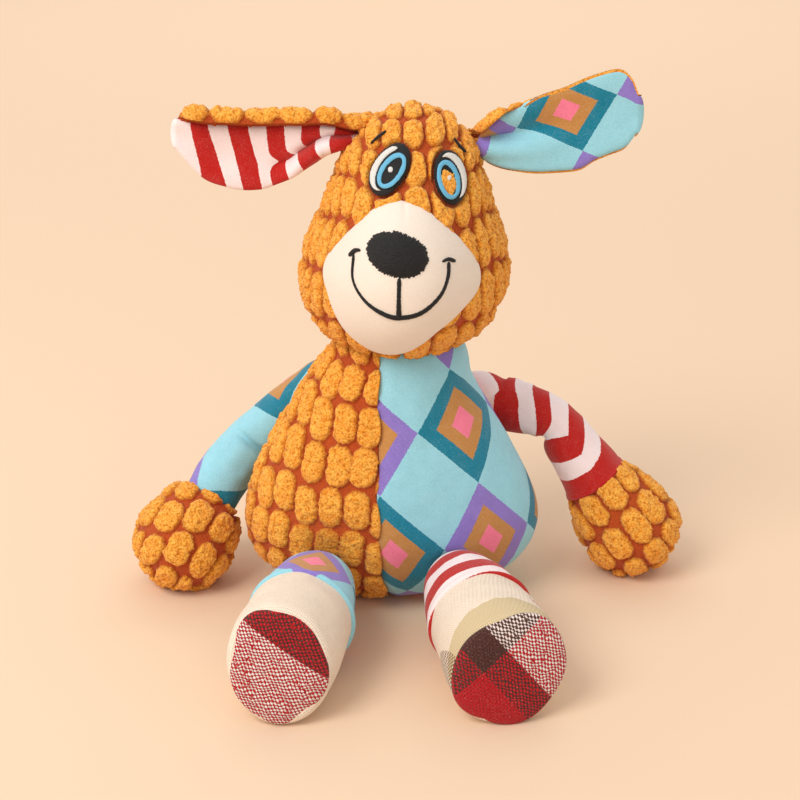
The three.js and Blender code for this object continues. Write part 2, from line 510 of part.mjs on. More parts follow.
// Legs: hip on the belly, cuff, foot upper and oval sole
function leg(side, degrees, z, way, soleNormal, roll, colour, close) {
  const [p, n] = onTorso(degrees, z);
  const h = p.clone().addScaledVector(n, HIP_R + GAP - close);
  const d = way.clone().normalize();
  const ns = soleNormal.clone().normalize();
  const thigh = LEG_R - 1.3;
  const ends = [[0.8, SOLE_W + 1.6, SOLE_H - 0.6], [1, SOLE_W, SOLE_H]];
  const radius = [[0, HIP_R, HIP_R], [0.22, thigh, thigh], [CUFF_AT, LEG_R, LEG_R], ...ends];
  const value = (k, s) => through(radius.map((r) => r[0]), radius.map((r) => r[k]), s);
  const ring = (s, dr, n) => {
    const a = d.clone().lerp(ns, THREE.MathUtils.smoothstep(s, 0.3, 1)).normalize();
    const [e1, e2] = across(a);
    const t = roll * THREE.MathUtils.smoothstep(s, 0.3, 1);
    const f1 = e1.clone().multiplyScalar(Math.cos(t)).addScaledVector(e2, Math.sin(t));
    const f2 = e2.clone().multiplyScalar(Math.cos(t)).addScaledVector(e1, -Math.sin(t));
    return ringAt(h.clone().addScaledVector(d, LEG_L * s), f1, f2, value(1, s) - dr, value(2, s) - dr, n);
  };
  const hipRing = (a, dr, n) => {
    const [e1, e2] = across(d);
    const q = THREE.MathUtils.degToRad(a);
    const r = HIP_R - dr;
    return ringAt(h.clone().addScaledVector(d, -r * Math.sin(q)), e1, e2, r * Math.cos(q), r * Math.cos(q), n);
  };
  const centre = (s) => h.clone().addScaledVector(d, LEG_L * s);
  const hip = (dr, n = AROUND.leg) => [67, 45, 22].map((a) => hipRing(a, dr, n));
  const backPole = (dr) => h.clone().addScaledVector(d, -(HIP_R - dr));
  const span = (dr, list, n = AROUND.leg) => list.map((s) => ring(s, dr, n));
  const e = GAP / LEG_L;
  const cuffPart = solid(loft([...hip(0), ...span(0, [0, 0.16, 0.32, CUFF_AT])], backPole(0), centre(CUFF_AT)));
  const upperPart = solid(loft(span(0, [CUFF_AT + e, 0.6, 0.75, 0.9, 1]), centre(CUFF_AT + e), centre(1)));
  const stations = [0, 0.16, 0.32, CUFF_AT, 0.6, 0.75, 0.9, 1];
  const innerRings = [...hip(WALL), ...span(WALL, [...stations, 1.06])];
  const inner = solid(loft(innerRings, backPole(WALL), centre(1.06)));
  add(`${side}_cuff`, cuffPart.subtract(inner).subtract(floor), colour);
  add(`${side}_foot_upper`, upperPart.subtract(inner).subtract(floor), LINEN);
  const fillIn = WALL + GAP;
  const fillRings = [...hip(fillIn, AROUND.legFill), ...span(fillIn, stations, AROUND.legFill)];
  const fill = loft(fillRings, backPole(fillIn), centre(1));
  add(`${side}_leg_stuffing`, solid(fill).subtract(floor), FILL);
  const [e1, e2] = across(ns);
  const f1 = e1.clone().multiplyScalar(Math.cos(roll)).addScaledVector(e2, Math.sin(roll));
  const f2 = e2.clone().multiplyScalar(Math.cos(roll)).addScaledVector(e1, -Math.sin(roll));
  const disc = (o, dr) => ringAt(centre(1).addScaledVector(ns, GAP + o), f1, f2, SOLE_W - dr, SOLE_H - dr, 20);
  const beyond = (o) => centre(1).addScaledVector(ns, GAP + o);
  const sole = loft([disc(0, 0.4), disc(SOLE_T * 0.6, 0), disc(SOLE_T, 1.6)], beyond(0), beyond(SOLE_T + 0.6));
  add(`${side}_sole`, solid(sole).subtract(floor), PLAID);
  joints[`${side}_hip`] = h;
}
leg('right', 246, 29.2, V(-0.19, -0.98, -0.005), V(-0.08, -1, 0.28), 0.15, PRINT, 0.3);
leg('left', 294, 29.2, V(0.26, -0.965, -0.045), V(0.14, -1, 0.28), -0.95, STRIPE, 0.75);

// Base the drawing on the middle of its box, with the floor at zero
const box = new THREE.Box3().setFromObject(root);
const shift = V(-(box.min.x + box.max.x) / 2, -(box.min.y + box.max.y) / 2, -box.min.z);
for (const mesh of root.children) mesh.geometry.translate(shift.x, shift.y, shift.z);
root.userData = { shift, joints };

export default root;
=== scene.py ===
# %% [markdown]
# # A patchwork plush dog, sewn piece by piece
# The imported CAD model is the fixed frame: it holds the joints, the squeaker and a plain solid for every
# stuffed form. This lesson dresses it. Each cover is worked out as a surface with numpy, in the same
# millimetres as the drawing, and then moved into the frame, in metres.

# %% Load the frame
import json

import bmesh
import bpy
import numpy as np
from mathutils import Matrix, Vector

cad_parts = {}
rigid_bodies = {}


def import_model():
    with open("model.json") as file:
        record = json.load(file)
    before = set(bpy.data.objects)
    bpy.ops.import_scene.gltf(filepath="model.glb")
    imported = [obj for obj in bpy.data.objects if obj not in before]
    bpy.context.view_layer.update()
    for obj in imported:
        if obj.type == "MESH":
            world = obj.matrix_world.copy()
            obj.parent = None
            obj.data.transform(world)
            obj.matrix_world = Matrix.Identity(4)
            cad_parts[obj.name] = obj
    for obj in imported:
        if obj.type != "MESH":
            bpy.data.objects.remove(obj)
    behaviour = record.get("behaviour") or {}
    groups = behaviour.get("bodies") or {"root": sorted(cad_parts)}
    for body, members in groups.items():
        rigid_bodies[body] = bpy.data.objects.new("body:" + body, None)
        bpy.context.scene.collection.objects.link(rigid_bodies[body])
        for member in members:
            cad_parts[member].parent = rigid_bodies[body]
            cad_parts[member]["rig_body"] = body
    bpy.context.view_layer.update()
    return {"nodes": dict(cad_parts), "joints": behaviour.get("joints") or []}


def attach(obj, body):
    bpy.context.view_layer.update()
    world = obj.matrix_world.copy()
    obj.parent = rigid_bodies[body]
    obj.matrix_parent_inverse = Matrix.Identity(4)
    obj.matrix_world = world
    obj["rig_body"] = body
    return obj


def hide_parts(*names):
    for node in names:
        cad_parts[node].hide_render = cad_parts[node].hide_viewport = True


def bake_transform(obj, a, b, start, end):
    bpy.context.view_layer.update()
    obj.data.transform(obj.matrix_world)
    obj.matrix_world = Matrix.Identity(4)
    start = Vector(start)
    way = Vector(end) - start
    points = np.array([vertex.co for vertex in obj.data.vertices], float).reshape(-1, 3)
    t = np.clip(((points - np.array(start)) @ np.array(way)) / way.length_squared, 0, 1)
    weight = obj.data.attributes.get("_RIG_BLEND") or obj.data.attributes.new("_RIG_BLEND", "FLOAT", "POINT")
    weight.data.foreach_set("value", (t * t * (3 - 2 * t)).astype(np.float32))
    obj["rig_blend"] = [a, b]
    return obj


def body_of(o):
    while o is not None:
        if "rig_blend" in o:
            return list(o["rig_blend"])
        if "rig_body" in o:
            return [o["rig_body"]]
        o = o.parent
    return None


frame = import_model()
NODE = frame["nodes"]

# %% [markdown]
# ## One drawing for all pieces
# The neck's ball sits at a known place of the drawing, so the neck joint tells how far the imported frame
# is shifted from it. The other joints are read back into the drawing the same way.

# %% Drawing units and joints
MM = 0.001
NECK = np.array([4.0, 60.0, 106.0])
JOINT = {j["name"]: j for j in frame["joints"]}
SHIFT = np.array(JOINT["neck_turn"]["pos_m"]) / MM - NECK


def joint_at(name):
    """A joint's point in the drawing, in millimetres."""
    return np.array(JOINT[name]["pos_m"]) / MM - SHIFT


def in_frame(points):
    """Drawing millimetres to the frame's metres."""
    return (np.asarray(points, float) + SHIFT) * MM


print("drawing shift in mm:", SHIFT.round(2))

# %% [markdown]
# ## Curves, eases and noise
# A stuffed form swells and tapers without corners, so its stations are joined by a cubic. Cloth is never
# quite even either: a value noise, made from hashed grid corners, gives lumps that are the same each run.

# %% Eases and curves
def ease(x, low, high):
    """0 below low, 1 above high, and a smooth cubic step between."""
    t = np.clip((np.asarray(x, float) - low) / (high - low), 0, 1)
    return t * t * (3 - 2 * t)


def hill(x, middle, width):
    """A bell of height 1: exp(-((x - middle) / width)^2)."""
    return np.exp(-(((x - middle) / width) ** 2))


def dome(share, power):
    """1 at share 0, falling to 0 at share 1 like a cushion's top: (1 - share^power)^0.5."""
    return np.sqrt(np.clip(1 - share**power, 0, 1))


def through(stations, values, x):
    """A cubic through each station. Its slope there is that between the station's two neighbours."""
    s, v = np.asarray(stations, float), np.asarray(values, float)
    k = np.arange(len(s))
    before, after = np.maximum(k - 1, 0), np.minimum(k + 1, len(s) - 1)
    slope = (v[after] - v[before]) / (s[after] - s[before])
    i = np.clip(np.searchsorted(s, x) - 1, 0, len(s) - 2)
    h = s[i + 1] - s[i]
    t = (x - s[i]) / h
    start = (2 * t**3 - 3 * t**2 + 1) * v[i] + (t**3 - 2 * t**2 + t) * h * slope[i]
    return start + (3 * t**2 - 2 * t**3) * v[i + 1] + (t**3 - t**2) * h * slope[i + 1]


print("half way up an ease:", ease(0.5, 0, 1), "and a quarter in:", ease(0.25, 0, 1).round(3))

# %% Noise
PRIMES = (374761393, 668265263, 1274126177)


def scatter(*whole, seed=0):
    """A fixed number from -1 to 1 for each tuple of whole numbers, from a multiply-and-shift hash."""
    n = np.int64(seed) * np.int64(PRIMES[1]) + np.zeros_like(whole[0], dtype=np.int64)
    for k, w in enumerate(whole):
        n = n * np.int64(31) + np.asarray(w).astype(np.int64) * np.int64(PRIMES[k])
        n = (n ^ (n >> np.int64(13))) * np.int64(1103515245)
    return ((n ^ (n >> np.int64(16))) & np.int64(0xFFFF)) / 32767.5 - 1


def lumps(points, cell, seed=0):
    """Value noise from -1 to 1: fixed numbers at the corners of cubic cells, eased between them."""
    q = np.asarray(points, float) / cell
    i = np.floor(q).astype(np.int64)
    f = q - i
    f = f * f * (3 - 2 * f)
    total = 0
    for corner in range(8):
        d = np.array([corner & 1, corner >> 1 & 1, corner >> 2])
        share = np.where(d, f, 1 - f).prod(-1)
        total = total + share * scatter(*np.moveaxis(i + d, -1, 0), seed=seed)
    return total


print("noise at one place, the same each run:", lumps(np.array([3.0, 1.0, 2.0]), 2.0, 1).round(4))


# %% Directions and lengths
def unit(v):
    """Vectors of length one."""
    v = np.asarray(v, float)
    return v / np.maximum(np.linalg.norm(v, axis=-1, keepdims=True), 1e-9)


def normals(grid, outward_from):
    """Unit normals of a grid: the cross product of its two steps, turned away from a point inside."""
    n = unit(np.cross(np.gradient(grid, axis=1), np.gradient(grid, axis=0)))
    inside = np.asarray(outward_from, float)
    return n * np.sign(np.sum(n * (grid - inside)))


def run_length(grid, axis):
    """Distance along a grid's rows or columns, from its first point."""
    step = np.linalg.norm(np.diff(grid, axis=axis), axis=-1)
    first = np.zeros_like(np.take(step, [0], axis=axis))
    return np.concatenate([first, np.cumsum(step, axis=axis)], axis=axis)


def on_tube(radius, angle, along):
    """Points of a plain tube, for a noise that joins up round it."""
    return np.stack(np.broadcast_arrays(radius * np.cos(angle), radius * np.sin(angle), along), -1)


print("once round a tube of 10 mm in 8 steps:",
      run_length(on_tube(10, np.linspace(0, 2 * np.pi, 9), 0.0), 0)[-1].round(2), "mm")

# %% [markdown]
# ## From grids to closed meshes
# A cover is a grid of points. Grids that meet, at a pole or where a tube closes, share points exactly, and
# merging those points closes the mesh. An open panel gets an inner side, a coarse copy one cloth's
# thickness further in, and a rim of triangles that joins the fine edge to the coarse one.

# %% Faces of a grid
def quads(rows, cols, first):
    """Corner numbers of a grid's faces."""
    k = first + np.arange(rows * cols).reshape(rows, cols)
    return np.stack([k[:-1, :-1], k[:-1, 1:], k[1:, 1:], k[1:, :-1]], -1).reshape(-1, 4)


def edge_loop(rows, cols, first):
    """Point numbers once round a grid's edge."""
    k = first + np.arange(rows * cols).reshape(rows, cols)
    return np.concatenate([k[0, :-1], k[:-1, -1], k[-1, :0:-1], k[:0:-1, 0]])


def rim(fine, coarse, step):
    """Triangles between an edge loop and one with a point for each `step` of its points."""
    i, j = np.arange(len(fine)), np.arange(len(coarse))
    near = coarse[((i + step // 2) // step) % len(coarse)]
    small = np.stack([fine, np.roll(fine, -1), near], -1)
    large = np.stack([coarse, fine[j * step + step // 2], np.roll(coarse, -1)], -1)
    return np.concatenate([small, large])


print("a grid of 3 by 4 points has", len(quads(3, 4, 0)), "faces and", len(edge_loop(3, 4, 0)), "edge points")


# %% Sew a mesh
def add_object(name, data):
    """A new object in the scene, at the origin."""
    obj = bpy.data.objects.new(name, data)
    bpy.context.scene.collection.objects.link(obj)
    return obj


MERGE, SLIVER = 1e-7, 1e-8


def sew(name, grids, uv, triangles=(), pile_height=()):
    """A closed mesh object from grids of millimetre points, with the cloth's uv and pile for each point."""
    points = np.concatenate([g.reshape(-1, 3) for g in grids])
    firsts = np.cumsum([0] + [g.shape[0] * g.shape[1] for g in grids])
    four = np.concatenate([quads(*g.shape[:2], f) for g, f in zip(grids, firsts)])
    three = np.concatenate([*triangles, np.zeros((0, 3), int)]).astype(int)
    corners = np.concatenate([four.ravel(), three.ravel()])
    starts = np.concatenate([np.arange(len(four)) * 4, len(four) * 4 + np.arange(len(three)) * 3])
    me = bpy.data.meshes.new(name)
    me.vertices.add(len(points))
    me.vertices.foreach_set("co", in_frame(points).astype(np.float32).ravel())
    me.loops.add(len(corners))
    me.loops.foreach_set("vertex_index", corners.astype(np.int32))
    me.polygons.add(len(starts))
    me.polygons.foreach_set("loop_start", starts.astype(np.int32))
    places = np.concatenate([u.reshape(-1, 2) for u in uv])
    me.update(calc_edges=True)
    layer = me.uv_layers.new(name="cloth")
    layer.uv.foreach_set("vector", places[corners].astype(np.float32).ravel())
    if len(pile_height):
        mark_pile(me, np.concatenate([h.ravel() for h in pile_height]))
    bm = bmesh.new()
    bm.from_mesh(me)
    bmesh.ops.remove_doubles(bm, verts=bm.verts, dist=MERGE)
    bmesh.ops.dissolve_degenerate(bm, edges=bm.edges, dist=SLIVER)
    bmesh.ops.recalc_face_normals(bm, faces=bm.faces)
    for face in bm.faces:
        face.smooth = True
    bm.to_mesh(me)
    bm.free()
    return add_object(name, me)


def mark_pile(me, height):
    """Keep the pile's height, from 0 to 1, as a number on each of a mesh's points."""
    me.attributes.new("pile", "FLOAT", "POINT").data.foreach_set("value", height.astype(np.float32))


def tell(title, pieces):
    """Print the pieces' names with their numbers of faces."""
    print(title + ":", {o.name: len(o.data.polygons) for o in pieces})


print("points nearer than", MERGE / MM, "mm are merged")


# %% Poles and panels
def capped(rings):
    """A tube's rings with a pole added at each end, at the mean of the first and of the last ring."""
    ends = [np.broadcast_to(rings[k].mean(0), rings[:1].shape) for k in (0, -1)]
    return np.concatenate([ends[0], rings, ends[1]])


def for_poles(values):
    """Numbers for such a tube: those of its first and its last ring are used for the poles too."""
    return np.concatenate([values[:1], values, values[-1:]])


WALL = 3.0
INNER_STEP = 4


def even_count(length, pitch):
    """Points along a length at about that pitch, one more than a multiple of the inner side's step."""
    return INNER_STEP * max(1, round(length / pitch / INNER_STEP)) + 1


def panel(name, outer, form, form_normals, uv, pile_height=None):
    """An open cover: its outer side, a coarse inner side one wall inside the plain form, and the rim."""
    coarse = np.s_[::INNER_STEP, ::INNER_STEP]
    inner = (form - WALL * form_normals)[coarse]
    count = outer.shape[0] * outer.shape[1]
    ring = rim(edge_loop(*outer.shape[:2], 0), edge_loop(*inner.shape[:2], count), INNER_STEP)
    height = [] if pile_height is None else [pile_height, pile_height[coarse]]
    return sew(name, [outer, inner], [uv, uv[coarse]], [ring], height)


print("a cover is", WALL, "mm thick under its pile")

# %% [markdown]
# ## Bubble corduroy
# The orange cloth has long pile bubbles in columns, each column a little out of step with the next. A bump
# in the material would be flat at the outline, and the bubbles are about three millimetres high, so they are
# made in the mesh. The pile's curl is a smaller noise on top, and the shader adds the loops. The cloth's own
# coordinates, in millimetres along and across its columns, decide where a bubble is, so a column follows
# the form as a sewn panel does.

# %% Bubble cloth
PILE_LOW, PILE_HIGH = -1.9, 1.1
TUFT, CURL = 1.4, 3.2
RAG, CURL_RISE = 0.6, (0.8, 0.35)
OUT_OF_STEP, ASTRAY, UNEVEN = 0.10, (0.04, 0.03), 0.04
CORNER_CUT = 0.42


def bubbles(u, v, fill=(0.97, 1.02), pitch=(12.5, 21.0), lean=0.0, seed=1):
    """Height from 0 to 1. In its cell a bubble is an oblong with cut corners: d^12 is the sum of du^12, dv^12
    and slant^12, slant being the way to the cut corner, and the height is (1 - d^5)^0.5."""
    column = np.round(u / pitch[0])
    drop = lean * column + OUT_OF_STEP * scatter(column, seed=seed + 7)
    row = np.round(v / pitch[1] - drop)
    jog = [scatter(column, row, seed=seed + k) for k in range(4)]
    half_u, half_v = (0.5 * fill[k] * (1 + UNEVEN * jog[2 + k]) for k in (0, 1))
    du = np.abs(u / pitch[0] - column - ASTRAY[0] * jog[0]) / half_u
    dv = np.abs(v / pitch[1] - drop - row - ASTRAY[1] * jog[1]) / half_v
    wide, high = fill[0] * pitch[0], fill[1] * pitch[1]
    slant = (du * wide + dv * high) / (high + CORNER_CUT * wide)
    d = (du**12 + dv**12 + slant**12) ** (1 / 12)
    return dome(d, 5)


def pile(form, normal, u, v, keep=1.0, seed=1, **shape):
    """The form raised by its bubbles, and their height. keep, from 0 to 1, flattens them at seams and under
    stitches. The fibres' tufts jog the bubbles' edges and roughen their tops."""
    rag_u, rag_v = (RAG * lumps(form, TUFT, seed + k) for k in (5, 6))
    height = bubbles(u + rag_u, v + rag_v, seed=seed, **shape) * keep
    curl = CURL_RISE[0] * lumps(form, TUFT, seed) + CURL_RISE[1] * lumps(form, CURL, seed + 9)
    rise = PILE_LOW + (PILE_HIGH - PILE_LOW) * height + curl * (0.12 + 0.88 * height)
    return form + rise[..., None] * normal, height


print("bubbles stand", PILE_HIGH - PILE_LOW, "mm above the cloth between them")

# %% [markdown]
# ## Torso
# Two panels meet at a seam down the front and the back, a little to one side: bubble corduroy and printed
# velour. Cloth could be draped over a filling and blown up, but a stuffed form is simpler to steer as a stack
# of ellipses, from the flat seat to the ball that carries the head.

# %% Torso form
SEAM_X, SEAM_WAVE, SEAM_DRIFT = -5.0, 0.8, 3.5
LEAN_FROM = 60.0
TORSO_W, TORSO_D, TORSO_Y = 71.0, 43.0, 58.0
BELLY_MIDDLE = (0, TORSO_Y, 60)
NECK_R = 34.0
BELLY_Z = np.array([0, 3, 9, 20, 32, 44, 58, 74, 90, 106.0])
BELLY_W = np.array([0.37, 0.54, 0.735, 0.92, 0.985, 0.97, 0.9, 0.8, 0.7, 0.58])
BELLY_D = np.array([0.37, 0.52, 0.7, 0.88, 0.975, 1, 0.97, 0.91, 0.85, 0.802])
SEAT_SHARES = np.array([0.03, 0.36, 0.7])
BALL = np.radians([72, 54, 36, 18, 2])
STATION_Z = np.r_[0 * SEAT_SHARES, BELLY_Z, NECK[2] + NECK_R * np.cos(BALL)]
STATION_W = np.r_[SEAT_SHARES * BELLY_W[0] * TORSO_W, TORSO_W * BELLY_W, NECK_R * np.sin(BALL)]
STATION_D = np.r_[SEAT_SHARES * BELLY_D[0] * TORSO_D, TORSO_D * BELLY_D, NECK_R * np.sin(BALL)]
STATION_RUN = np.r_[0, np.cumsum(np.hypot(np.diff(STATION_W), np.diff(STATION_Z)))]


def seam_x(z):
    """Where the two halves meet: a hand-fed seam that waves a little and drifts at the bottom."""
    return SEAM_X + SEAM_WAVE * np.sin(z / 4.6 + 0.6) * np.sin(z / 13) + SEAM_DRIFT * (1 - ease(z, 6, 36))


def toward_neck(z):
    """0 in the belly, 1 at the height of the neck's ball."""
    return ease(z, LEAN_FROM, NECK[2])


def torso_half(left, pitch):
    """One half's form, its normals, and how far each point lies from the front seam and up the outline.
    The bubble half has no rows where the seam passes it by, in the seat's middle and on top of the ball."""
    run = np.linspace(0, STATION_RUN[-1], 400)
    if not left:
        z, w = (through(STATION_RUN, s, run) for s in (STATION_Z, STATION_W))
        run = run[w > NECK[0] * toward_neck(z) - seam_x(z)]
    run = np.linspace(run[0], run[-1], even_count(np.ptp(run), pitch))
    z, w, d = (through(STATION_RUN, s, run)[:, None] for s in (STATION_Z, STATION_W, STATION_D))
    up = toward_neck(z)
    cx, cy = NECK[0] * up, TORSO_Y + (NECK[1] - TORSO_Y) * up
    gap = 0.1 if left else -0.1
    cut = np.arccos(np.clip((seam_x(z) + gap - cx) / w, -1, 1))
    t = np.linspace(0, 1, even_count(np.pi * (TORSO_W + TORSO_D) / 2, pitch))
    a = -cut + 2 * cut * t if left else 2 * np.pi - cut + (2 * cut - 2 * np.pi) * t
    form = np.stack([cx + w * np.cos(a), cy + d * np.sin(a), np.maximum(z + 0 * a, 0)], -1)
    return form, normals(form, BELLY_MIDDLE), run_length(form, 1), run[:, None] + 0 * a


def from_edge(across):
    """Distance from the nearer of a panel's two side seams, across being that from the first one."""
    return np.minimum(across, across[:, -1:] - across)


def seam_dip(across, depth=1.6, reach=3.0):
    """A cover sinks towards both its side seams."""
    return -depth * hill(from_edge(across), 0, reach)


print("torso's outline, from the seat's middle to the top of the ball:", STATION_RUN[-1].round(1), "mm")

# %% [markdown]
# The bubble half is cut in a front and a back piece, with a join under the arm. Their columns lean a little
# towards the neck. The pile is pressed down where the right paw and the right cuff can lie against it, and it
# laps over the print at the seam.

# %% Bubble half
UNDER_ARM = 0.56
COLUMN_AT, LEAN_U, LEAN_V = (3.2, 110), 0.15, 0.12
PRESSED = [(np.array([-78.0, 42, 34]) - SHIFT, 0.82), (np.array([-40.0, 2, 36]) - SHIFT, 0.55)]
PRESS_REACH = 17
LAP, LAP_REACH = 1.3, 2.5
form, normal, across, along = torso_half(False, 0.72)
back_edge = across[:, -1:] - across
behind = across > UNDER_ARM * across[:, -1:]
from_seam = np.where(behind, back_edge, across)
column_u = (from_seam + LEAN_U * (along - COLUMN_AT[1]) + COLUMN_AT[0]) * np.where(behind, -1, 1)
column_v = along - LEAN_V * from_seam
keep = ease(from_edge(across), -0.6, 0.5) * ease(np.abs(across - UNDER_ARM * across[:, -1:]), 0.1, 1.2)
for place, share in PRESSED:
    keep = keep * (1 - share * np.exp(-np.sum(((form - place) / PRESS_REACH) ** 2, -1)))
sunk = form + seam_dip(across, 0.5, 2.0)[..., None] * normal
skin, height = pile(sunk, normal, column_u, column_v, keep, seed=3)
skin[..., 0] += LAP * (hill(back_edge, 0, LAP_REACH) + hill(across, 0, LAP_REACH)) * height
skin[..., 2] = np.maximum(skin[..., 2], 0)
torso_right = panel("torso_bubble_cover", skin, form, normal, np.stack([across, along], -1), height)
tell("torso", [torso_right])

# %% Printed half
DRAWN_Z = [0, 56, 74, 90, 106, 118, 141]
DRAWN_SHARE = [1, 1, 0.965, 0.885, 0.82, 1, 1]
DRAWN_REACH = 18
PRINT_AT = {"centre": (40.5, 147.7), "first": (29.3, -28.3), "second": (-16.8, -30.7)}
SOFT = [(0.5, 14, 5), (0.25, 6, 6)]


def drawn_in(points):
    """The printed half is narrower where the sleeve leaves it: x shrinks towards the torso's middle there."""
    z = points[..., 2]
    middle = NECK[0] * toward_neck(z)
    off = points[..., 0] - middle
    share = through(DRAWN_Z, DRAWN_SHARE, np.clip(z, DRAWN_Z[0], DRAWN_Z[-1]))
    return np.stack([middle + off * (1 - (1 - share) * ease(off, 0, DRAWN_REACH)), points[..., 1], z], -1)


def lattice(u, v, centre, first, second):
    """Cloth millimetres to diamonds: one unit is one edge of a diamond, from the middle of one diamond."""
    edges = np.linalg.inv(np.array([first, second]).T)
    return np.einsum("ij,...j->...i", edges, np.stack([u - centre[0], v - centre[1]], -1))


form, normal, across, along = torso_half(True, 1.5)
full_x = form[..., 0]
form = drawn_in(form)
normal = normals(form, BELLY_MIDDLE)
soft = sum(amount * lumps(form, cell, seed) for amount, cell, seed in SOFT)
skin = form + (seam_dip(across) + soft)[..., None] * normal
skin[..., 2] = np.maximum(skin[..., 2], 0)
print_u = across + form[..., 0] - full_x + seam_x(form[..., 2]) - SEAM_X
torso_left = panel("torso_print_cover", skin, form, normal, lattice(print_u, along, **PRINT_AT))
tell("torso", [torso_left])

# %% [markdown]
# ## Head
# The head is two bubble panels, front and back, with the seam over the crown and down behind the cheeks.
# Below, it is hollowed to sit on the neck's ball. Across the cloth, the coordinate keeps the distance from
# the middle of the face, and along it the height on the head. So the columns run up the forehead and bend
# round the sides, and the rows stay level, as on a panel that was stretched over the filling.

# %% Head form
HEAD = np.array([7.5, 59.0, 175.0])
HEAD_W, HEAD_D, HEAD_H = 45.5, 43.0, 55.0
SEAM_Y = 62.0
HEAD_LEAN = 0.05
TEMPLE = {"z": 193.0, "high": 23.0, "share": 0.115}
SNOUT = {"x": 4.5, "z": 166.0, "wide": 29.0, "high": 34.0, "deep": 15.0}
SOCKET_R = 37.2


def head_width(z):
    """Half width of the head at a height, per unit of the outline: narrower at the temples."""
    return HEAD_W * (1 - TEMPLE["share"] * hill(z, TEMPLE["z"], TEMPLE["high"]))


def head_ring(t):
    """Share of the full width at an angle t from 0 at the chin to pi at the crown: a pear, fuller below."""
    return np.sin(t) ** 0.8 * (1 + 0.24 * np.cos(t))


def head_x(z):
    """x of the head's middle at a height: it leans a little to its left."""
    return HEAD[0] + HEAD_LEAN * (z - HEAD[2])


def head_point(u, t):
    """The head's surface: t from the chin to the crown, u round it, with the snout drawn forward."""
    z = HEAD[2] - HEAD_H * np.cos(t)
    r = head_ring(t)
    x = head_x(z) + head_width(z) * r * np.cos(u)
    return np.stack([x, head_depth(x, z, HEAD_D * r * np.sin(u), np.sin(u)), z + 0 * u], -1)


def head_depth(x, z, y, facing):
    """Depth of a head point: y from the middle, less the snout's bulge exp(-q^1.5) on the front side."""
    q = ((x - SNOUT["x"]) / SNOUT["wide"]) ** 2 + ((z - SNOUT["z"]) / SNOUT["high"]) ** 2
    return HEAD[1] + y - SNOUT["deep"] * np.sqrt(np.maximum(-facing, 0)) * np.exp(-q**1.5)


print("head's crown at", HEAD[2] + HEAD_H, "mm of the drawing")


# %% Points on the face
def face_point(x, z):
    """The point of the head's front at x and z, solved from the same form."""
    x, z = np.broadcast_arrays(np.asarray(x, float), np.asarray(z, float))
    r = head_ring(np.arccos(np.clip((HEAD[2] - z) / HEAD_H, -0.995, 0.995)))
    cosine = np.clip((x - head_x(z)) / (head_width(z) * r), -0.99, 0.99)
    sine = -np.sqrt(1 - cosine**2)
    return np.stack([x, head_depth(x, z, HEAD_D * r * sine, sine), z], -1)


def face_normal(x, z):
    """Outward normal of the face from its slopes over half a millimetre."""
    half = 0.25
    dx = face_point(x + half, z) - face_point(x - half, z)
    dz = face_point(x, z + half) - face_point(x, z - half)
    return unit(np.cross(dx, dz))


def out_of_socket(points):
    """Points nearer the neck's centre than the socket's radius move out to it."""
    arm = points - NECK
    far = np.linalg.norm(arm, axis=-1, keepdims=True)
    return NECK + arm * np.maximum(1, SOCKET_R / np.maximum(far, 1e-6))


print("the snout's tip is at", face_point(SNOUT["x"], SNOUT["z"]).round(1).tolist())

# %% [markdown]
# The face is stitched and appliqued flat on the pile, so the bubbles lie down under each of its pieces.
# The outlines are read from the photograph, as x and z of the drawing.

# %% Face outlines
MUZZLE_XZ = np.array([
    [6.8, 199.1], [15, 196.2], [21.3, 191], [29.8, 182.9], [36.4, 174.2], [39.6, 165.5], [38.6, 157.8],
    [31.4, 150.7], [21, 142.8], [13.4, 135.2], [6.6, 129.8], [-0.6, 127.6], [-7.2, 128.9], [-12.4, 132.5],
    [-18.3, 138], [-23.3, 146], [-27, 155.9], [-28.9, 164], [-28, 169.5], [-23.8, 177], [-16.2, 185.8],
    [-9.9, 192.5], [-1.5, 198]])
MUZZLE_AT = np.array([4.5, 163.0])
EYES = {"right": {"at": (0.4, 209.2), "wide": 6.5, "high": 11.2, "turn": -0.68, "outer": -1,
                  "iris": (1.25, -1.0), "ring": (3.2, 4.5), "shine": (-0.5, 0.4)},
        "left": {"at": (25.75, 205.3), "wide": 6.6, "high": 10.55, "turn": 0.31, "outer": 1,
                 "iris": (-1.6, -1.1), "ring": (3.1, 3.85), "shine": (0.1, 0.7)}}
BROWS = {"right": [(-7.4, 217.2), (-4.3, 219.9), (-0.8, 222.4)],
         "left": [(27.1, 219), (29.7, 215.8), (32.4, 212.9)]}
print("the muzzle's outline has", len(MUZZLE_XZ), "points")


# %% Reach of an outline
def around(outline, centre):
    """An outline's reach from a centre as a function of the angle, closed on itself."""
    d = outline - centre
    angle = np.arctan2(d[:, 1], d[:, 0])
    order = np.argsort(angle)
    angle, reach = angle[order], np.hypot(*d[order].T)
    angle = np.r_[angle[-3:] - 2 * np.pi, angle, angle[:3] + 2 * np.pi]
    reach = np.r_[reach[-3:], reach, reach[:3]]
    return lambda a: through(angle, reach, np.mod(a + np.pi, 2 * np.pi) - np.pi)


def oval(wide, high, turn):
    """Reach of a turned oval as a function of the angle."""
    return lambda a: 1 / np.hypot(np.cos(a - turn) / wide, np.sin(a - turn) / high)


muzzle_reach = around(MUZZLE_XZ, MUZZLE_AT)


def share_of(x, z, centre, reach):
    """How far out a face point is in an outline: 0 at its centre, 1 on its edge."""
    dx, dz = x - centre[0], z - centre[1]
    return np.hypot(dx, dz) / reach(np.arctan2(dz, dx))


